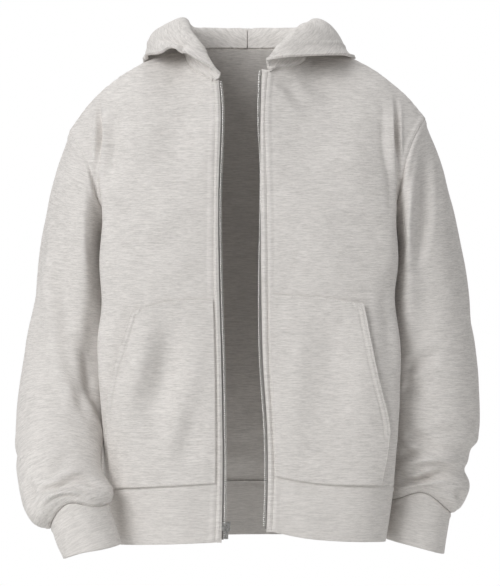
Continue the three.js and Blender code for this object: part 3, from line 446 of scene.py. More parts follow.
class Surface:
    """One piece of cloth as a fine open surface, with its rim as ordered lines."""

    def __init__(self, name, levels):
        bm = bmesh.new()
        bm.from_mesh(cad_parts[name].data)
        bmesh.ops.remove_doubles(bm, verts=bm.verts, dist=MERGE)
        bm.normal_update()
        keep_one_wall(bm, SHOWS.get(name, 0))
        to_quads(bm)
        self.name = name
        self.mesh = rounded(bm, name + "_cloth", levels)
        bm.free()
        self.at = points_of(self.mesh)
        self.normal = normals_of(self.mesh)
        self.rims = self.walk_rims()
        quads = [tuple(face.vertices) for face in self.mesh.polygons]
        self.tree = BVHTree.FromPolygons([tuple(p) for p in self.at], quads)

    def walk_rims(self):
        """The rim as closed loops of vertex numbers."""
        used = {}
        for face in self.mesh.polygons:
            for key in face.edge_keys:
                used[key] = used.get(key, 0) + 1
        beside = {}
        for (a, b), count in used.items():
            if count == 1:
                beside.setdefault(a, []).append(b)
                beside.setdefault(b, []).append(a)
        loops = []
        while beside:
            here = next(iter(beside))
            loop = []
            while here is not None:
                loop.append(here)
                here = next((other for other in beside.pop(here) if other in beside), None)
            loops.append(loop)
        return loops


surfaces = {}


def surface(name):
    if name not in surfaces:
        levels = bpy.context.scene.hoodie_cloth.detail
        if name.startswith(("placket", "zip_tape", "hood")):
            levels = max(levels - 1, 1)
        surfaces[name] = Surface(name, levels)
    return surfaces[name]


def smooth_line(points, steps=5):
    """More points on a soft curve through the given ones."""
    ends = [2 * points[0] - points[1], *points, 2 * points[-1] - points[-2]]
    line = []
    for k in range(len(points) - 1):
        a, b, c, d = ends[k:k + 4]
        for t in np.linspace(0, 1, steps, endpoint=False):
            line.append(0.5 * (2 * b + (c - a) * t + (2 * a - 5 * b + 4 * c - d) * t ** 2
                               + (3 * b - a - 3 * c + d) * t ** 3))
    return np.array([*line, points[-1]])


def lengths_to(line):
    """The length of a line up to each of its points."""
    return np.concatenate([[0], np.cumsum(np.linalg.norm(np.diff(line, axis=0), axis=1))])


def spot_at(length, start, line):
    """The spot at a length along a line."""
    return np.array([np.interp(length, start, line[:, k]) for k in range(3)])


def to_line(at, line):
    """Distance of each point from a line, and how far along the line it is, from 0 to 1."""
    start = lengths_to(line)
    steps = np.diff(start)
    best = np.full(len(at), 1e9)
    along = np.zeros(len(at))
    for k, step in enumerate(steps):
        way = (line[k + 1] - line[k]) / step
        t = np.clip((at - line[k]) @ way, 0, step)
        away = np.linalg.norm(at - line[k] - t[:, None] * way, axis=1)
        closer = away < best
        best[closer] = away[closer]
        along[closer] = (start[k] + t[closer]) / start[-1]
    return best, along


def laid_on(pieces, view, points):
    """The crease's points on the cloth, as seen from one side."""
    axis, way = LOOK[view]
    line = []
    for across, up in points:
        found = None
        for piece in pieces:
            origin = [across, across, up]
            origin[axis] = -OUTSIDE * way
            heading = [0, 0, 0]
            heading[axis] = way
            hit = surface(piece).tree.ray_cast(Vector(origin), Vector(heading))
            if hit[0] is not None and (found is None or hit[3] < found[1]):
                found = (hit[0], hit[3])
        if found:
            line.append(np.array(found[0]))
    return line


def crease_relief(piece, at):
    """How far the creases press each point of a piece in, in millimetres."""
    depth = np.zeros(len(at))
    marked = [(pieces, view, *row) for pieces, view, rows in CREASES for row in rows if piece.name in pieces]
    for pieces, view, points, width, deep, peak in marked:
        line = laid_on(pieces, view, points)
        if len(line) < 2:
            continue
        line = smooth_line(line)
        low, high = line.min(axis=0) - 3 * width, line.max(axis=0) + 3 * width
        near = np.all((at > low) & (at < high), axis=1)
        away, along = to_line(at[near], line)
        share = np.where(along < peak, along / peak, (1 - along) / (1 - peak))
        taper = np.sin(np.clip(share, 0, 1) * math.pi / 2) ** 1.5
        spread = away / width
        profile = np.exp(-spread ** 2) - 0.28 * np.exp(-((spread - 1.75) / 0.7) ** 2)
        depth[near] += deep * profile * taper
    return depth


def rim_tree(piece, only=None):
    loop = [v for rim in piece.rims for v in rim] if only is None else only
    tree = KDTree(len(loop))
    for v in loop:
        tree.insert(piece.at[v], v)
    tree.balance()
    return tree


def rim_steps(piece):
    """The rim points before and after each rim point."""
    if not hasattr(piece, "steps"):
        piece.steps = {v: (rim[k - 1], rim[(k + 1) % len(rim)]) for rim in piece.rims for k, v in enumerate(rim)}
    return piece.steps


def nearest_on_rim(piece, tree, point):
    """The nearest spot on a rim: its two end points, the share of the second, and the distance."""
    _, w, _ = tree.find(point)
    best = (w, w, 0.0, np.linalg.norm(point - piece.at[w]))
    for u in rim_steps(piece)[w]:
        way = piece.at[u] - piece.at[w]
        length = way @ way
        if length < 1e-9 or length > 900:
            continue
        t = min(max((point - piece.at[w]) @ way / length, 0), 1)
        away = np.linalg.norm(point - piece.at[w] - t * way)
        if away < best[3]:
            best = (w, u, t, away)
    return best


def sewn_rims(piece):
    """For each rim point that another piece is sewn to: that piece, and the spot on its rim."""
    pairs = {}
    for other in NEIGHBOURS.get(piece.name, []):
        there = surface(other)
        tree = rim_tree(there)
        for rim in piece.rims:
            for v in rim:
                spot = nearest_on_rim(there, tree, piece.at[v])
                if spot[3] < SEWN_WITHIN and (v not in pairs or spot[3] < pairs[v][4]):
                    pairs[v] = (other, *spot)
    return pairs


def pull(piece):
    """Moves the cloth along itself, softly, where it hangs or is drawn out of its plain form."""
    start = piece.at.copy()
    for pieces, middle, reach, move in PULLS:
        if piece.name in pieces:
            share = np.exp(-(((start - middle) / reach) ** 2).sum(axis=1))
            piece.at = piece.at + share[:, None] * column(move)


def rumple(at):
    """The softness of worn cloth: low swells, longer down the cloth than across it, in millimetres."""
    depth = np.zeros(len(at))
    for across, down, height in SWELLS:
        scaled = at / (across, across, down)
        depth += [height * noise.noise(Vector(p)) for p in scaled]
    return depth


def seam_relief(piece, at, sewn, pucker):
    """The dip into each seam, the soft swell beside it, and its puckers, in millimetres."""
    depth = np.zeros(len(at))
    if not sewn:
        return depth
    run = {}
    for rim in piece.rims:
        length = 0.0
        for k, v in enumerate(rim):
            length += np.linalg.norm(at[v] - at[rim[k - 1]]) if k else 0
            run[v] = length
    tree = rim_tree(piece, list(sewn))
    for v, point in enumerate(at):
        _, w, away = tree.find(point)
        if away > SEAM_REACH:
            continue
        length = run[w]
        wave = math.sin(length / 2.3 + 1.7 * math.sin(length / 19)) * (0.6 + 0.4 * math.sin(length / 31))
        depth[v] = sum(deep * math.exp(-((away - place) / wide) ** 2) for deep, place, wide in SEAM)
        depth[v] += pucker / MM * wave * math.exp(-(away / 8) ** 2)
    return depth


def rim_stitch_relief(piece, at, rim, lines, swell=0.0):
    """Shallow grooves under the stitch lines that follow a free rim, and the swell of its folded edge."""
    depth = np.zeros(len(at))
    tree = rim_tree(piece, rim)
    for v, point in enumerate(at):
        away = tree.find(point)[2]
        if away < max(lines) + 6:
            depth[v] = sum(GROOVE["deep"] * math.exp(-((away - line) / GROOVE["wide"]) ** 2) for line in lines)
            depth[v] -= swell * math.exp(-(away / 8) ** 2)
    return depth


def grain_of(name, at):
    """Where each point lies in the knit: two ways across the piece, and its height along the wales."""
    if name.startswith(("sleeve", "cuff")):
        middle = smooth_line([column(p) for p in SLEEVE_MIDDLES[RIGHT if name.endswith(RIGHT) else LEFT]])
        start = lengths_to(middle)
        along = to_line(at, middle)[1] * start[-1]
        nearest = spot_at(along, start, middle)
        return np.column_stack([at[:, 0] - nearest[0], at[:, 1] - nearest[1], -along])
    if name.startswith("hood"):
        way = 1 if name.endswith(LEFT) else -1
        up = column([way * -0.45, -0.35, 0.82])
        across = column([way * 0.82, -0.1, 0.45])
        return np.column_stack([at @ across, at[:, 1], at @ up])
    return at.copy()


def add_attribute(mesh, name, values):
    layer = mesh.attributes.new(name, "FLOAT_VECTOR", "POINT")
    layer.data.foreach_set("vector", values.astype(np.float32).ravel())


def finish_cloth(piece, material):
    """Turns a surface into a piece of cloth with its thickness and soft edges, in place of its solid."""
    spec = PIECES[piece.name]
    mesh = piece.mesh
    add_attribute(mesh, "grain", grain_of(piece.name, piece.at))
    mesh.vertices.foreach_set("co", (piece.at * MM).ravel())
    mesh.polygons.foreach_set("use_smooth", np.ones(len(mesh.polygons), dtype=bool))
    mesh.update()
    cloth = new_object(piece.name + "_cloth", mesh)
    mesh.materials.clear()
    mesh.materials.append(material)
    wall = cloth.modifiers.new("Wall", "SOLIDIFY")
    wall.thickness = spec["wall"] * MM
    wall.offset = -1
    wall.use_rim = True
    if spec["edge"]:
        soft = cloth.modifiers.new("Soft edge", "BEVEL")
        soft.limit_method = "ANGLE"
        soft.angle_limit = math.radians(50)
        soft.width = spec["edge"] * MM
        soft.segments = 2
    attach(cloth, GARMENT)
    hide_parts(piece.name)
    return cloth


def press(piece, depth):
    """Moves each point in along the cloth's normal."""
    piece.at = piece.at - piece.normal * depth[:, None]


def meet_neighbours(names):
    """Closes each seam: rim points that are sewn together meet halfway."""
    moves = {}
    for name in names:
        piece = surface(name)
        moves[name] = {}
        for v, (other, w, u, t, _) in sewn[name].items():
            there = surface(other).at
            moves[name][v] = (piece.at[v] + (1 - t) * there[w] + t * there[u]) / 2
    for name in names:
        for v, point in moves[name].items():
            surface(name).at[v] = point


sewn = {}
shaped = []


def shape_all(settings):
    """Creases and seams on every piece, done once, because neighbours share their rims."""
    if shaped:
        return
    for name in PIECES:
        sewn[name] = sewn_rims(surface(name))
    for name in PIECES:
        piece = surface(name)
        if name.startswith("zip_tape"):
            continue
        start = piece.at.copy()
        depth = crease_relief(piece, start) * settings.crease + rumple(start)
        depth += seam_relief(piece, start, sewn[name], settings.pucker)
        depth += free_rim_relief(piece, start)
        press(piece, depth)
        pull(piece)
    for _ in range(2):
        meet_neighbours([name for name in PIECES if not name.startswith(("pocket", "zip_tape"))])
    shaped.append(True)


def free_rim_relief(piece, at):
    free = [v for rim in piece.rims for v in rim if v not in sewn[piece.name]]
    if piece.name.startswith("pocket"):
        opening = pocket_opening(piece)
        return rim_stitch_relief(piece, at, opening, POCKET_LINES, POCKET_SWELL)
    if piece.name.startswith("hood"):
        return rim_stitch_relief(piece, at, free, [HOOD_LINE])
    if piece.name.startswith("placket") and free:
        return rim_stitch_relief(piece, at, free, [PLACKET_LINE])
    return np.zeros(len(at))


def pocket_opening(piece):
    """The rim points on the slanted opening of a pocket half: its outer side, above its lowest stretch."""
    rim = piece.rims[0]
    heights = piece.at[rim][:, 2]
    sides = np.abs(piece.at[rim][:, 0])
    low, high = heights.min(), heights.max()
    chosen = []
    for v, z, x in zip(rim, heights, sides):
        seam = np.interp(z, POCKET_SIDE_Z, POCKET_SIDE_X[piece.name])
        on_side = low + POCKET_SIDE["above_foot"] < z < high - POCKET_SIDE["below_top"]
        if on_side and abs(x - seam) < POCKET_SIDE["near"]:
            chosen.append(v)
    return chosen


class Nodes:
    """A node tree with a short way to add and link nodes."""

    def __init__(self, tree):
        self.tree = tree
        tree.nodes.clear()

    def add(self, kind, links=None, **values):
        """A new node with its links and settings by name."""
        node = self.tree.nodes.new(kind)
        for key, value in values.items():
            if hasattr(node, key):
                setattr(node, key, value)
            else:
                node.inputs[key.replace("_", " ")].default_value = value
        for key, source in (links or {}).items():
            self.tree.links.new(source, node.inputs[key])
        return node


def new_group(name, ins, outs):
    group = bpy.data.node_groups.new(name, "ShaderNodeTree")
    for sockets, way in ((ins, "INPUT"), (outs, "OUTPUT")):
        for label, kind in sockets:
            group.interface.new_socket(label, in_out=way, socket_type=kind)
    return group


def new_material(name, **values):
    """A material, its nodes and its shader with the given values."""
    material = bpy.data.materials.new(name)
    material.use_nodes = True
    nodes = Nodes(material.node_tree)
    out = nodes.add("ShaderNodeOutputMaterial")
    shader = nodes.add("ShaderNodeBsdfPrincipled", **values)
    nodes.tree.links.new(shader.outputs[0], out.inputs[0])
    return material, nodes, shader


def blend(nodes, shader, mask, low, high):
    """Colours the shader between two colours by a mask."""
    colour = nodes.add("ShaderNodeMix", {"Factor": mask}, data_type="RGBA", A=(*low, 1), B=(*high, 1))
    nodes.tree.links.new(colour.outputs["Result"], shader.inputs["Base Color"])


def speckled(nodes, scale, stretch=None, detail=2.0):
    """Noise on the object's own coordinates."""
    place = nodes.add("ShaderNodeTexCoord").outputs["Object"]
    if stretch:
        turn = nodes.add("ShaderNodeMapping", {"Vector": place}, Scale=stretch)
        place = turn.outputs[0]
    speckle = nodes.add("ShaderNodeTexNoise", {"Vector": place}, Scale=scale, Detail=detail)
    return speckle.outputs["Fac"]


def streaks(nodes, grain, across, along, detail, low, high):
    """Noise that is long across the knit and thin along it, as a mask from 0 to 1."""
    stretch = nodes.add("ShaderNodeMapping", {"Vector": grain}, Scale=(1 / across, 1 / across, 1 / along))
    speckle = nodes.add("ShaderNodeTexNoise", {"Vector": stretch.outputs[0]}, Scale=1.0, Detail=detail, Roughness=0.6)
    mask = nodes.add("ShaderNodeMapRange", {"Value": speckle.outputs["Fac"]}, From_Min=low, From_Max=high)
    return mask.outputs[0]


def math_node(nodes, operation, a, b):
    node = nodes.add("ShaderNodeMath", operation=operation)
    for k, value in enumerate((a, b)):
        if isinstance(value, (int, float)):
            node.inputs[k].default_value = value
        else:
            nodes.tree.links.new(value, node.inputs[k])
    return node.outputs[0]


def weighed(nodes, *parts):
    """The sum of several masks, each with its weight."""
    shares = [math_node(nodes, "MULTIPLY", mask, weight) for mask, weight in parts]
    total = shares[0]
    for share in shares[1:]:
        total = math_node(nodes, "ADD", total, share)
    return total


def heather_group():
    """Heather knit: slub streaks, flecks and fine stitches, as a colour mask and a height."""
    group = bpy.data.node_groups.get("Heather knit")
    if group:
        return group
    group = new_group("Heather knit", [("Grain", "NodeSocketVector")],
                      [("Yarn", "NodeSocketFloat"), ("Height", "NodeSocketFloat")])
    nodes = Nodes(group)
    inside = nodes.add("NodeGroupInput")
    grain = inside.outputs["Grain"]
    long_slubs = streaks(nodes, grain, 15.0, 1.5, 3.0, 0.36, 0.66)
    short_slubs = streaks(nodes, grain, 5.0, 0.8, 3.0, 0.34, 0.68)
    flecks = streaks(nodes, grain, 1.6, 0.55, 2.0, 0.3, 0.7)
    cloudy = streaks(nodes, grain, 60.0, 22.0, 2.0, 0.3, 0.7)
    nap = streaks(nodes, grain, 2.4, 0.7, 4.0, 0.25, 0.75)
    mixed = weighed(nodes, (long_slubs, 0.40), (short_slubs, 0.30), (flecks, 0.20), (cloudy, 0.10))
    height = weighed(nodes, (short_slubs, 0.5), (long_slubs, 0.6), (nap, 0.4))
    out = nodes.add("NodeGroupOutput")
    group.links.new(mixed, out.inputs["Yarn"])
    group.links.new(height, out.inputs["Height"])
    return group


def cloth_material(settings, name, rib=0.0, contrast=1.0, bump=0.4, shade=1.0):
    """Heather cloth. A rib adds fine upright ridges."""
    if name in bpy.data.materials:
        return bpy.data.materials[name]
    material, nodes, shader = new_material(name, Roughness=0.92, Specular_IOR_Level=0.25, Sheen_Weight=0.12,
                                           Sheen_Roughness=0.5)
    grain = nodes.add("ShaderNodeAttribute", attribute_name="grain").outputs["Vector"]
    knit = nodes.add("ShaderNodeGroup", node_tree=heather_group())
    nodes.tree.links.new(grain, knit.inputs["Grain"])
    middle = [(a + b) / 2 for a, b in zip(settings.light, settings.dark)]
    tones = [[shade * (m + (c - m) * contrast) for c, m in zip(end, middle)] for end in (settings.light, settings.dark)]
    blend(nodes, shader, knit.outputs["Yarn"], *tones)
    height = knit.outputs["Height"]
    if rib:
        turn = nodes.add("ShaderNodeMapping", {"Vector": grain}, Scale=(1 / rib, 1 / rib, 0.02))
        wave = nodes.add("ShaderNodeTexWave", {"Vector": turn.outputs[0]}, wave_type="BANDS", bands_direction="X",
                         Scale=0.32, Distortion=0.6)
        height = math_node(nodes, "ADD", height, math_node(nodes, "MULTIPLY", wave.outputs["Fac"], 0.6))
    relief = nodes.add("ShaderNodeBump", {"Height": height}, Strength=bump, Distance=0.5 * MM)
    nodes.tree.links.new(relief.outputs[0], shader.inputs["Normal"])
    return material


# The cloth of each slot: name, width of the rib in millimetres, contrast of the heather, relief and shade
CLOTHS = {
    "fleece": dict(name="Heather fleece"),
    "rib": dict(name="Fine rib", rib=1.6, contrast=0.8, bump=0.35),
    "tape": dict(name="Woven tape", rib=0.9, contrast=0.4, bump=0.3, shade=0.42),
}


def thread_material(settings):
    """Sewing thread in the cloth's light colour, with its twist."""
    material, nodes, shader = new_material("Sewing thread", Roughness=0.6)
    blend(nodes, shader, speckled(nodes, 900.0), [0.92 * c for c in settings.light], settings.light)
    return material


def metal_material():
    """Satin nickel with faint scratches."""
    material, nodes, shader = new_material("Zip metal", Metallic=1.0)
    scratches = speckled(nodes, 1.0, stretch=(900.0, 900.0, 200.0), detail=3.0)
    rough = nodes.add("ShaderNodeMapRange", {"Value": scratches}, To_Min=0.18, To_Max=0.34)
    blend(nodes, shader, scratches, (0.66, 0.65, 0.63), (0.9, 0.89, 0.87))
    nodes.tree.links.new(rough.outputs[0], shader.inputs["Roughness"])
    return material


def floor_material():
    material, nodes, shader = new_material("Pale floor", Roughness=0.8)
    blend(nodes, shader, speckled(nodes, 30.0), (0.78, 0.78, 0.77), (0.81, 0.81, 0.80))
    return material


class ClothBuilder:
    """Shared by the operators that finish pieces of cloth"""

    def execute(self, context):
        settings = context.scene.hoodie_cloth
        shape_all(settings)
        for name in self.pieces:
            finish_cloth(surface(name), cloth_material(settings, **CLOTHS[PIECES[name]["slot"]]))
        return {"FINISHED"}


class HOODIE_OT_body(ClothBuilder, bpy.types.Operator):
    """Two fronts and the back"""
    bl_idname = "hoodie.body"
    bl_label = "Fronts and back"
    pieces = ("front_right", "front_left", "back")


class HOODIE_OT_sleeves(ClothBuilder, bpy.types.Operator):
    """Sleeves with their cuffs"""
    bl_idname = "hoodie.sleeves"
    bl_label = "Sleeves and cuffs"
    pieces = ("sleeve_right", "cuff_right", "sleeve_left", "cuff_left")


class HOODIE_OT_hem(ClothBuilder, bpy.types.Operator):
    """The band round the hem"""
    bl_idname = "hoodie.hem"
    bl_label = "Hem band"
    pieces = ("hem_band",)


class HOODIE_OT_hood(ClothBuilder, bpy.types.Operator):
    """The two halves of the lying hood"""
    bl_idname = "hoodie.hood"
    bl_label = "Hood"
    pieces = ("hood_right", "hood_left")


class HOODIE_OT_pockets(ClothBuilder, bpy.types.Operator):
    """The two kangaroo pocket halves"""
    bl_idname = "hoodie.pockets"
    bl_label = "Pockets"
    pieces = ("pocket_right", "pocket_left")


class HOODIE_OT_plackets(ClothBuilder, bpy.types.Operator):
    """Zip plackets and tapes"""
    bl_idname = "hoodie.plackets"
    bl_label = "Plackets and tapes"
    pieces = ("placket_right", "zip_tape_right", "placket_left", "zip_tape_left")


def runs(piece, chosen):
    """The chosen rim points as open or closed runs, in order round the rim."""
    picked = set(chosen)
    found = []
    for rim in piece.rims:
        if all(v in picked for v in rim):
            found.append((rim, True))
            continue
        start = next((k for k, v in enumerate(rim) if v not in picked), 0)
        turned = rim[start:] + rim[:start]
        run = []
        for v in [*turned, None]:
            if v in picked:
                run.append(v)
            elif run:
                if len(run) > 6:
                    found.append((run, False))
                run = []
    return found


def stitch_line(piece, run, closed, inset):
    """Points on the cloth at a set distance inside a run of its rim, with the cloth's normal at each."""
    rim = piece.at[run]
    line = []
    for k, point in enumerate(rim):
        before = rim[k - 1] if k or closed else rim[k]
        after = rim[(k + 1) % len(rim)] if k + 1 < len(rim) or closed else rim[k]
        along = after - before
        along /= max(np.linalg.norm(along), 1e-9)
        normal = piece.normal[run[k]]
        inward = np.cross(normal, along)
        inward /= max(np.linalg.norm(inward), 1e-9)
        best = None
        for way in (1, -1):
            hit = piece.final.find_nearest(Vector(point + inward * inset * way))
            away = np.linalg.norm(np.array(hit[0]) - point)
            if best is None or away > best[0]:
                best = (away, hit)
        line.append((np.array(best[1][0]), np.array(best[1][1])))
    if closed:
        line.append(line[0])
    return line


def stitch_places(line, length, thread):
    """Where each stitch of a line lies, as matrices: along the line, across it and up from the cloth."""
    spots = column([spot for spot, _ in line])
    far = lengths_to(spots)
    places = []
    for k in range(int(far[-1] * MM / length)):
        middle = (k + 0.5) * length / MM
        here = spot_at(middle, far, spots)
        ahead = spot_at(middle + 1, far, spots)
        up = Vector(line[min(int(np.searchsorted(far, middle)), len(line) - 1)][1])
        way = Vector(ahead - here)
        if way.length < 1e-6:
            continue
        way.normalize()
        side = up.cross(way).normalized()
        normal = way.cross(side)
        if normal.dot(up) < 0:
            normal.negate()
        place = Matrix((way, side, normal)).transposed().to_4x4()
        place.translation = Vector(here) * MM + normal * thread * 0.25
        places.append(place @ Matrix.Diagonal((length * 0.40, thread * 0.5, thread * 0.5, 1)))
    return places


def copies(template, places, name, material):
    """One mesh with a copy of the template at each place."""
    points = column([vert.co[:] for vert in template.verts])
    faces = [[vert.index for vert in face.verts] for face in template.faces]
    template.free()
    turns = column(places)
    spots = np.einsum("nij,kj->nki", turns[:, :3, :3], points) + turns[:, None, :3, 3]
    mesh = bpy.data.meshes.new(name)
    count = len(points)
    mesh.from_pydata(spots.reshape(-1, 3).tolist(), [], [[v + count * k for v in face]
                                                         for k in range(len(places)) for face in faces])
    return mesh_object(mesh, name, material)


def mesh_object(mesh, name, material):
    mesh.polygons.foreach_set("use_smooth", np.ones(len(mesh.polygons), dtype=bool))
    mesh.materials.append(material)
    return new_object(name, mesh)


def settle_surfaces():
    """The finished outer faces, for what lies on them."""
    for name in PIECES:
        piece = surface(name)
        if not hasattr(piece, "final"):
            quads = [tuple(face.vertices) for face in piece.mesh.polygons]
            piece.final = BVHTree.FromPolygons([tuple(p) for p in piece.at], quads)


def sewn_to(name, *others):
    return [v for v, pair in sewn[name].items() if pair[0] in others]


def free_rim(name):
    return [v for rim in surface(name).rims for v in rim if v not in sewn[name]]


class HOODIE_OT_stitching(bpy.types.Operator):
    """Topstitching along the seams, pocket openings and plackets"""
    bl_idname = "hoodie.stitching"
    bl_label = "Stitching"

    def execute(self, context):
        cloth, sewing = context.scene.hoodie_cloth, context.scene.hoodie_sewing
        shape_all(cloth)
        settle_surfaces()
        groups = {"armhole_stitches": [], "hem_and_cuff_stitches": [], "pocket_stitches": [],
                  "zip_stitches": [], "hood_stitches": []}
        for side in SIDES:
            front, sleeve, hood = "front_" + side, "sleeve_" + side, "hood_" + side
            pocket, placket, cuff = "pocket_" + side, "placket_" + side, "cuff_" + side
            opening = pocket_opening(surface(pocket))
            others = [v for v in surface(pocket).rims[0] if v not in set(opening)]
            groups["armhole_stitches"] += [(front, sewn_to(front, sleeve), SEAM_LINE),
                                           ("back", sewn_to("back", sleeve), SEAM_LINE)]
            groups["hem_and_cuff_stitches"] += [(sleeve, sewn_to(sleeve, cuff), SEAM_LINE),
                                                (front, sewn_to(front, "hem_band"), SEAM_LINE)]
            groups["pocket_stitches"] += [*((pocket, opening, line) for line in POCKET_LINES),
                                          (pocket, others, POCKET_SEAM_LINE)]
            groups["zip_stitches"] += [(placket, sewn_to(placket, front, "hem_band"), PLACKET_SEAM_LINE),
                                       (placket, free_rim(placket), PLACKET_LINE)]
            groups["hood_stitches"] += [(hood, free_rim(hood), HOOD_LINE),
                                        (front, sewn_to(front, hood), SEAM_LINE)]
        groups["hood_stitches"].append(("back", sewn_to("back", "hood_right", "hood_left"), SEAM_LINE))
        groups["hem_and_cuff_stitches"].append(("back", sewn_to("back", "hem_band"), SEAM_LINE))
        thread = thread_material(cloth)
        for title, lines in groups.items():
            places = []
            for name, chosen, inset in lines:
                piece = surface(name)
                for run, closed in runs(piece, chosen):
                    line = stitch_line(piece, run, closed, inset)
                    places += stitch_places(line, sewing.stitch, sewing.thread)
            if not places:
                raise RuntimeError("no stitches for " + title)
            stitch = bmesh.new()
            bmesh.ops.create_uvsphere(stitch, u_segments=6, v_segments=3, radius=1.0,
                                      matrix=Matrix.Rotation(math.pi / 2, 4, "Y"))
            stitch.verts.index_update()
            made = copies(stitch, places, title, thread)
            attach(made, GARMENT)
        return {"FINISHED"}


class HOODIE_OT_zip(bpy.types.Operator):
    """Rows of metal teeth, and the finish of the slider, tab, box and pin"""
    bl_idname = "hoodie.zip"
    bl_label = "Zip"

    def execute(self, context):
        sewing = context.scene.hoodie_sewing
        shape_all(context.scene.hoodie_cloth)
        metal = metal_material()
        for side in SIDES:
            self.teeth(side, sewing.tooth_pitch, metal)
        for name in ("zip_slider", "zip_pull_tab", "zip_box", "zip_pin"):
            self.finish_solid(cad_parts[name], metal)
        return {"FINISHED"}

    def teeth(self, side, pitch, metal):
        """One row of teeth on the free edge of a tape."""
        tape = surface("zip_tape_" + side)
        way = 1 if side == RIGHT else -1
        edge = {}
        for v in tape.rims[0]:
            spot = tape.at[v]
            level = round(spot[2])
            if level not in edge or (spot[0] - edge[level][0]) * way > 0:
                edge[level] = spot
        spots = column([edge[level] for level in sorted(edge, reverse=True)])
        far = lengths_to(spots)
        places = []
        for k in range(int((far[-1] - 4) * MM / pitch)):
            x, y, z = spot_at((k + 1) * pitch / MM, far, spots)
            places.append(Matrix.Translation(Vector((x + way * TOOTH["reach"], y - TOOTH["proud"], z)) * MM))
        tooth = bmesh.new()
        size = Matrix.Diagonal((TOOTH["wide"] * MM, TOOTH["deep"] * MM, TOOTH["tall"] * MM, 1))
        bmesh.ops.create_cube(tooth, size=1.0, matrix=size)
        bmesh.ops.bevel(tooth, geom=list(tooth.edges), offset=TOOTH["edge"] * MM, offset_type="OFFSET", segments=1,
                        profile=0.5, affect="EDGES", material=-1)
        tooth.verts.index_update()
        made = copies(tooth, places, "zip_teeth_" + side, metal)
        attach(made, GARMENT)

    def finish_solid(self, solid, metal):
        solid.data.materials.clear()
        solid.data.materials.append(metal)
        weld = solid.modifiers.new("Weld", "WELD")
        weld.merge_threshold = MERGE / 2
        soft = solid.modifiers.new("Soft edge", "BEVEL")
        soft.limit_method = "ANGLE"
        soft.angle_limit = math.radians(40)
        soft.width = METAL_EDGE * MM
        soft.segments = 3


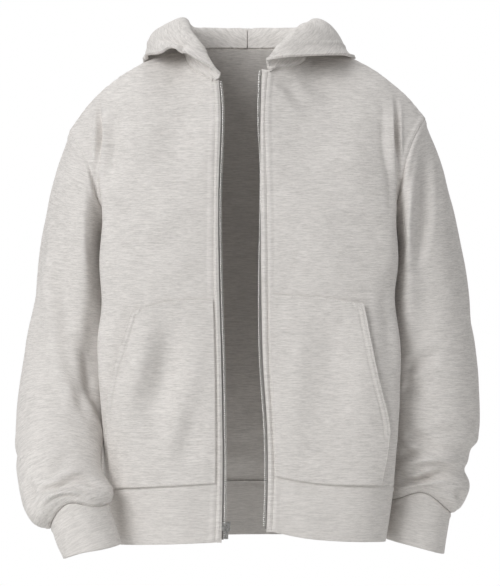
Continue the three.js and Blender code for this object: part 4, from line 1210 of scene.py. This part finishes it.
class HOODIE_OT_studio(bpy.types.Operator):
    """Floor, soft lights and camera"""
    bl_idname = "hoodie.studio"
    bl_label = "Studio"

    def execute(self, context):
        settings = context.scene.hoodie_studio
        scene = context.scene
        bm = bmesh.new()
        bmesh.ops.create_circle(bm, cap_ends=True, segments=96, radius=FLOOR["radius"],
                                matrix=Matrix.Translation((0, 0, FLOOR["height"])))
        ground = bpy.data.meshes.new("floor")
        bm.to_mesh(ground)
        bm.free()
        floor = mesh_object(ground, "floor", floor_material())
        powers = {"Key light": settings.key, "Fill light": settings.fill}
        for name, (place, size, power) in LIGHTS.items():
            self.area_light(name, place, size, powers.get(name, power))
        self.light_world(scene)
        self.place_camera(scene, settings.distance)
        scene.view_settings.view_transform = "Standard"
        scene.view_settings.look = "None"
        return {"FINISHED"}

    def light_world(self, scene):
        """Soft light all round, stronger from behind, and white where the camera sees past the object."""
        world = scene.world or bpy.data.worlds.new("Studio")
        scene.world = world
        world.use_nodes = True
        nodes = Nodes(world.node_tree)
        out = nodes.add("ShaderNodeOutputWorld")
        seen = nodes.add("ShaderNodeBackground", Color=(1, 1, 1, 1))
        lit = nodes.add("ShaderNodeBackground")
        way = nodes.add("ShaderNodeSeparateXYZ", {0: nodes.add("ShaderNodeTexCoord").outputs["Generated"]})
        glow = nodes.add("ShaderNodeMapRange", {"Value": way.outputs["Y"]}, From_Min=-1.0, From_Max=-0.3,
                         To_Min=GLOW["ahead"], To_Max=GLOW["behind"])
        world.node_tree.links.new(glow.outputs[0], lit.inputs["Strength"])
        path = nodes.add("ShaderNodeLightPath")
        mix = nodes.add("ShaderNodeMixShader", {0: path.outputs["Is Camera Ray"], 1: lit.outputs[0],
                                                2: seen.outputs[0]})
        world.node_tree.links.new(mix.outputs[0], out.inputs[0])

    def place_camera(self, scene, distance):
        camera = bpy.data.cameras.new("Camera")
        camera.sensor_fit = "VERTICAL"
        camera.sensor_height = CAMERA["sensor"]
        camera.lens = CAMERA["sensor"] / 2 * CAMERA["to_front"] / CAMERA["half_height"]
        holder = new_object("Camera", camera)
        holder.location = (CAMERA["across"], -distance, CAMERA["up"])
        holder.rotation_euler = (math.pi / 2, 0, 0)
        scene.camera = holder

    def area_light(self, name, place, size, power):
        light = bpy.data.lights.new(name, "AREA")
        light.shape = "DISK"
        light.size = size
        light.energy = power
        holder = new_object(name, light)
        holder.location = place
        aim = Vector(AIM) - Vector(place)
        holder.rotation_euler = aim.to_track_quat("-Z", "Y").to_euler()


class HOODIE_PT_panel(bpy.types.Panel):
    """Builds the hoodie piece by piece"""
    bl_label = "Zip up hoodie"
    bl_space_type = "VIEW_3D"
    bl_region_type = "UI"
    bl_category = "Hoodie"

    def draw(self, context):
        scene = context.scene
        for group in (scene.hoodie_cloth, scene.hoodie_sewing, scene.hoodie_studio):
            box = self.layout.box()
            for key in group.__annotations__:
                box.prop(group, key)
        for operator in OPERATORS:
            self.layout.operator(operator.bl_idname)


SETTINGS = {"hoodie_cloth": ClothSettings, "hoodie_sewing": SewingSettings, "hoodie_studio": StudioSettings}
OPERATORS = (HOODIE_OT_body, HOODIE_OT_sleeves, HOODIE_OT_hem, HOODIE_OT_hood, HOODIE_OT_pockets,
             HOODIE_OT_plackets, HOODIE_OT_stitching, HOODIE_OT_zip, HOODIE_OT_studio)


def register():
    for kind in (*SETTINGS.values(), *OPERATORS, HOODIE_PT_panel):
        bpy.utils.register_class(kind)
    for key, kind in SETTINGS.items():
        setattr(bpy.types.Scene, key, PointerProperty(type=kind))


def unregister():
    for key in SETTINGS:
        delattr(bpy.types.Scene, key)
    for kind in reversed((*SETTINGS.values(), *OPERATORS, HOODIE_PT_panel)):
        bpy.utils.unregister_class(kind)


def main():
    register()
    for step in ("body", "sleeves", "hem", "hood", "pockets", "plackets", "stitching", "zip", "studio"):
        getattr(bpy.ops.hoodie, step)()


if __name__ == "__main__":
    main()
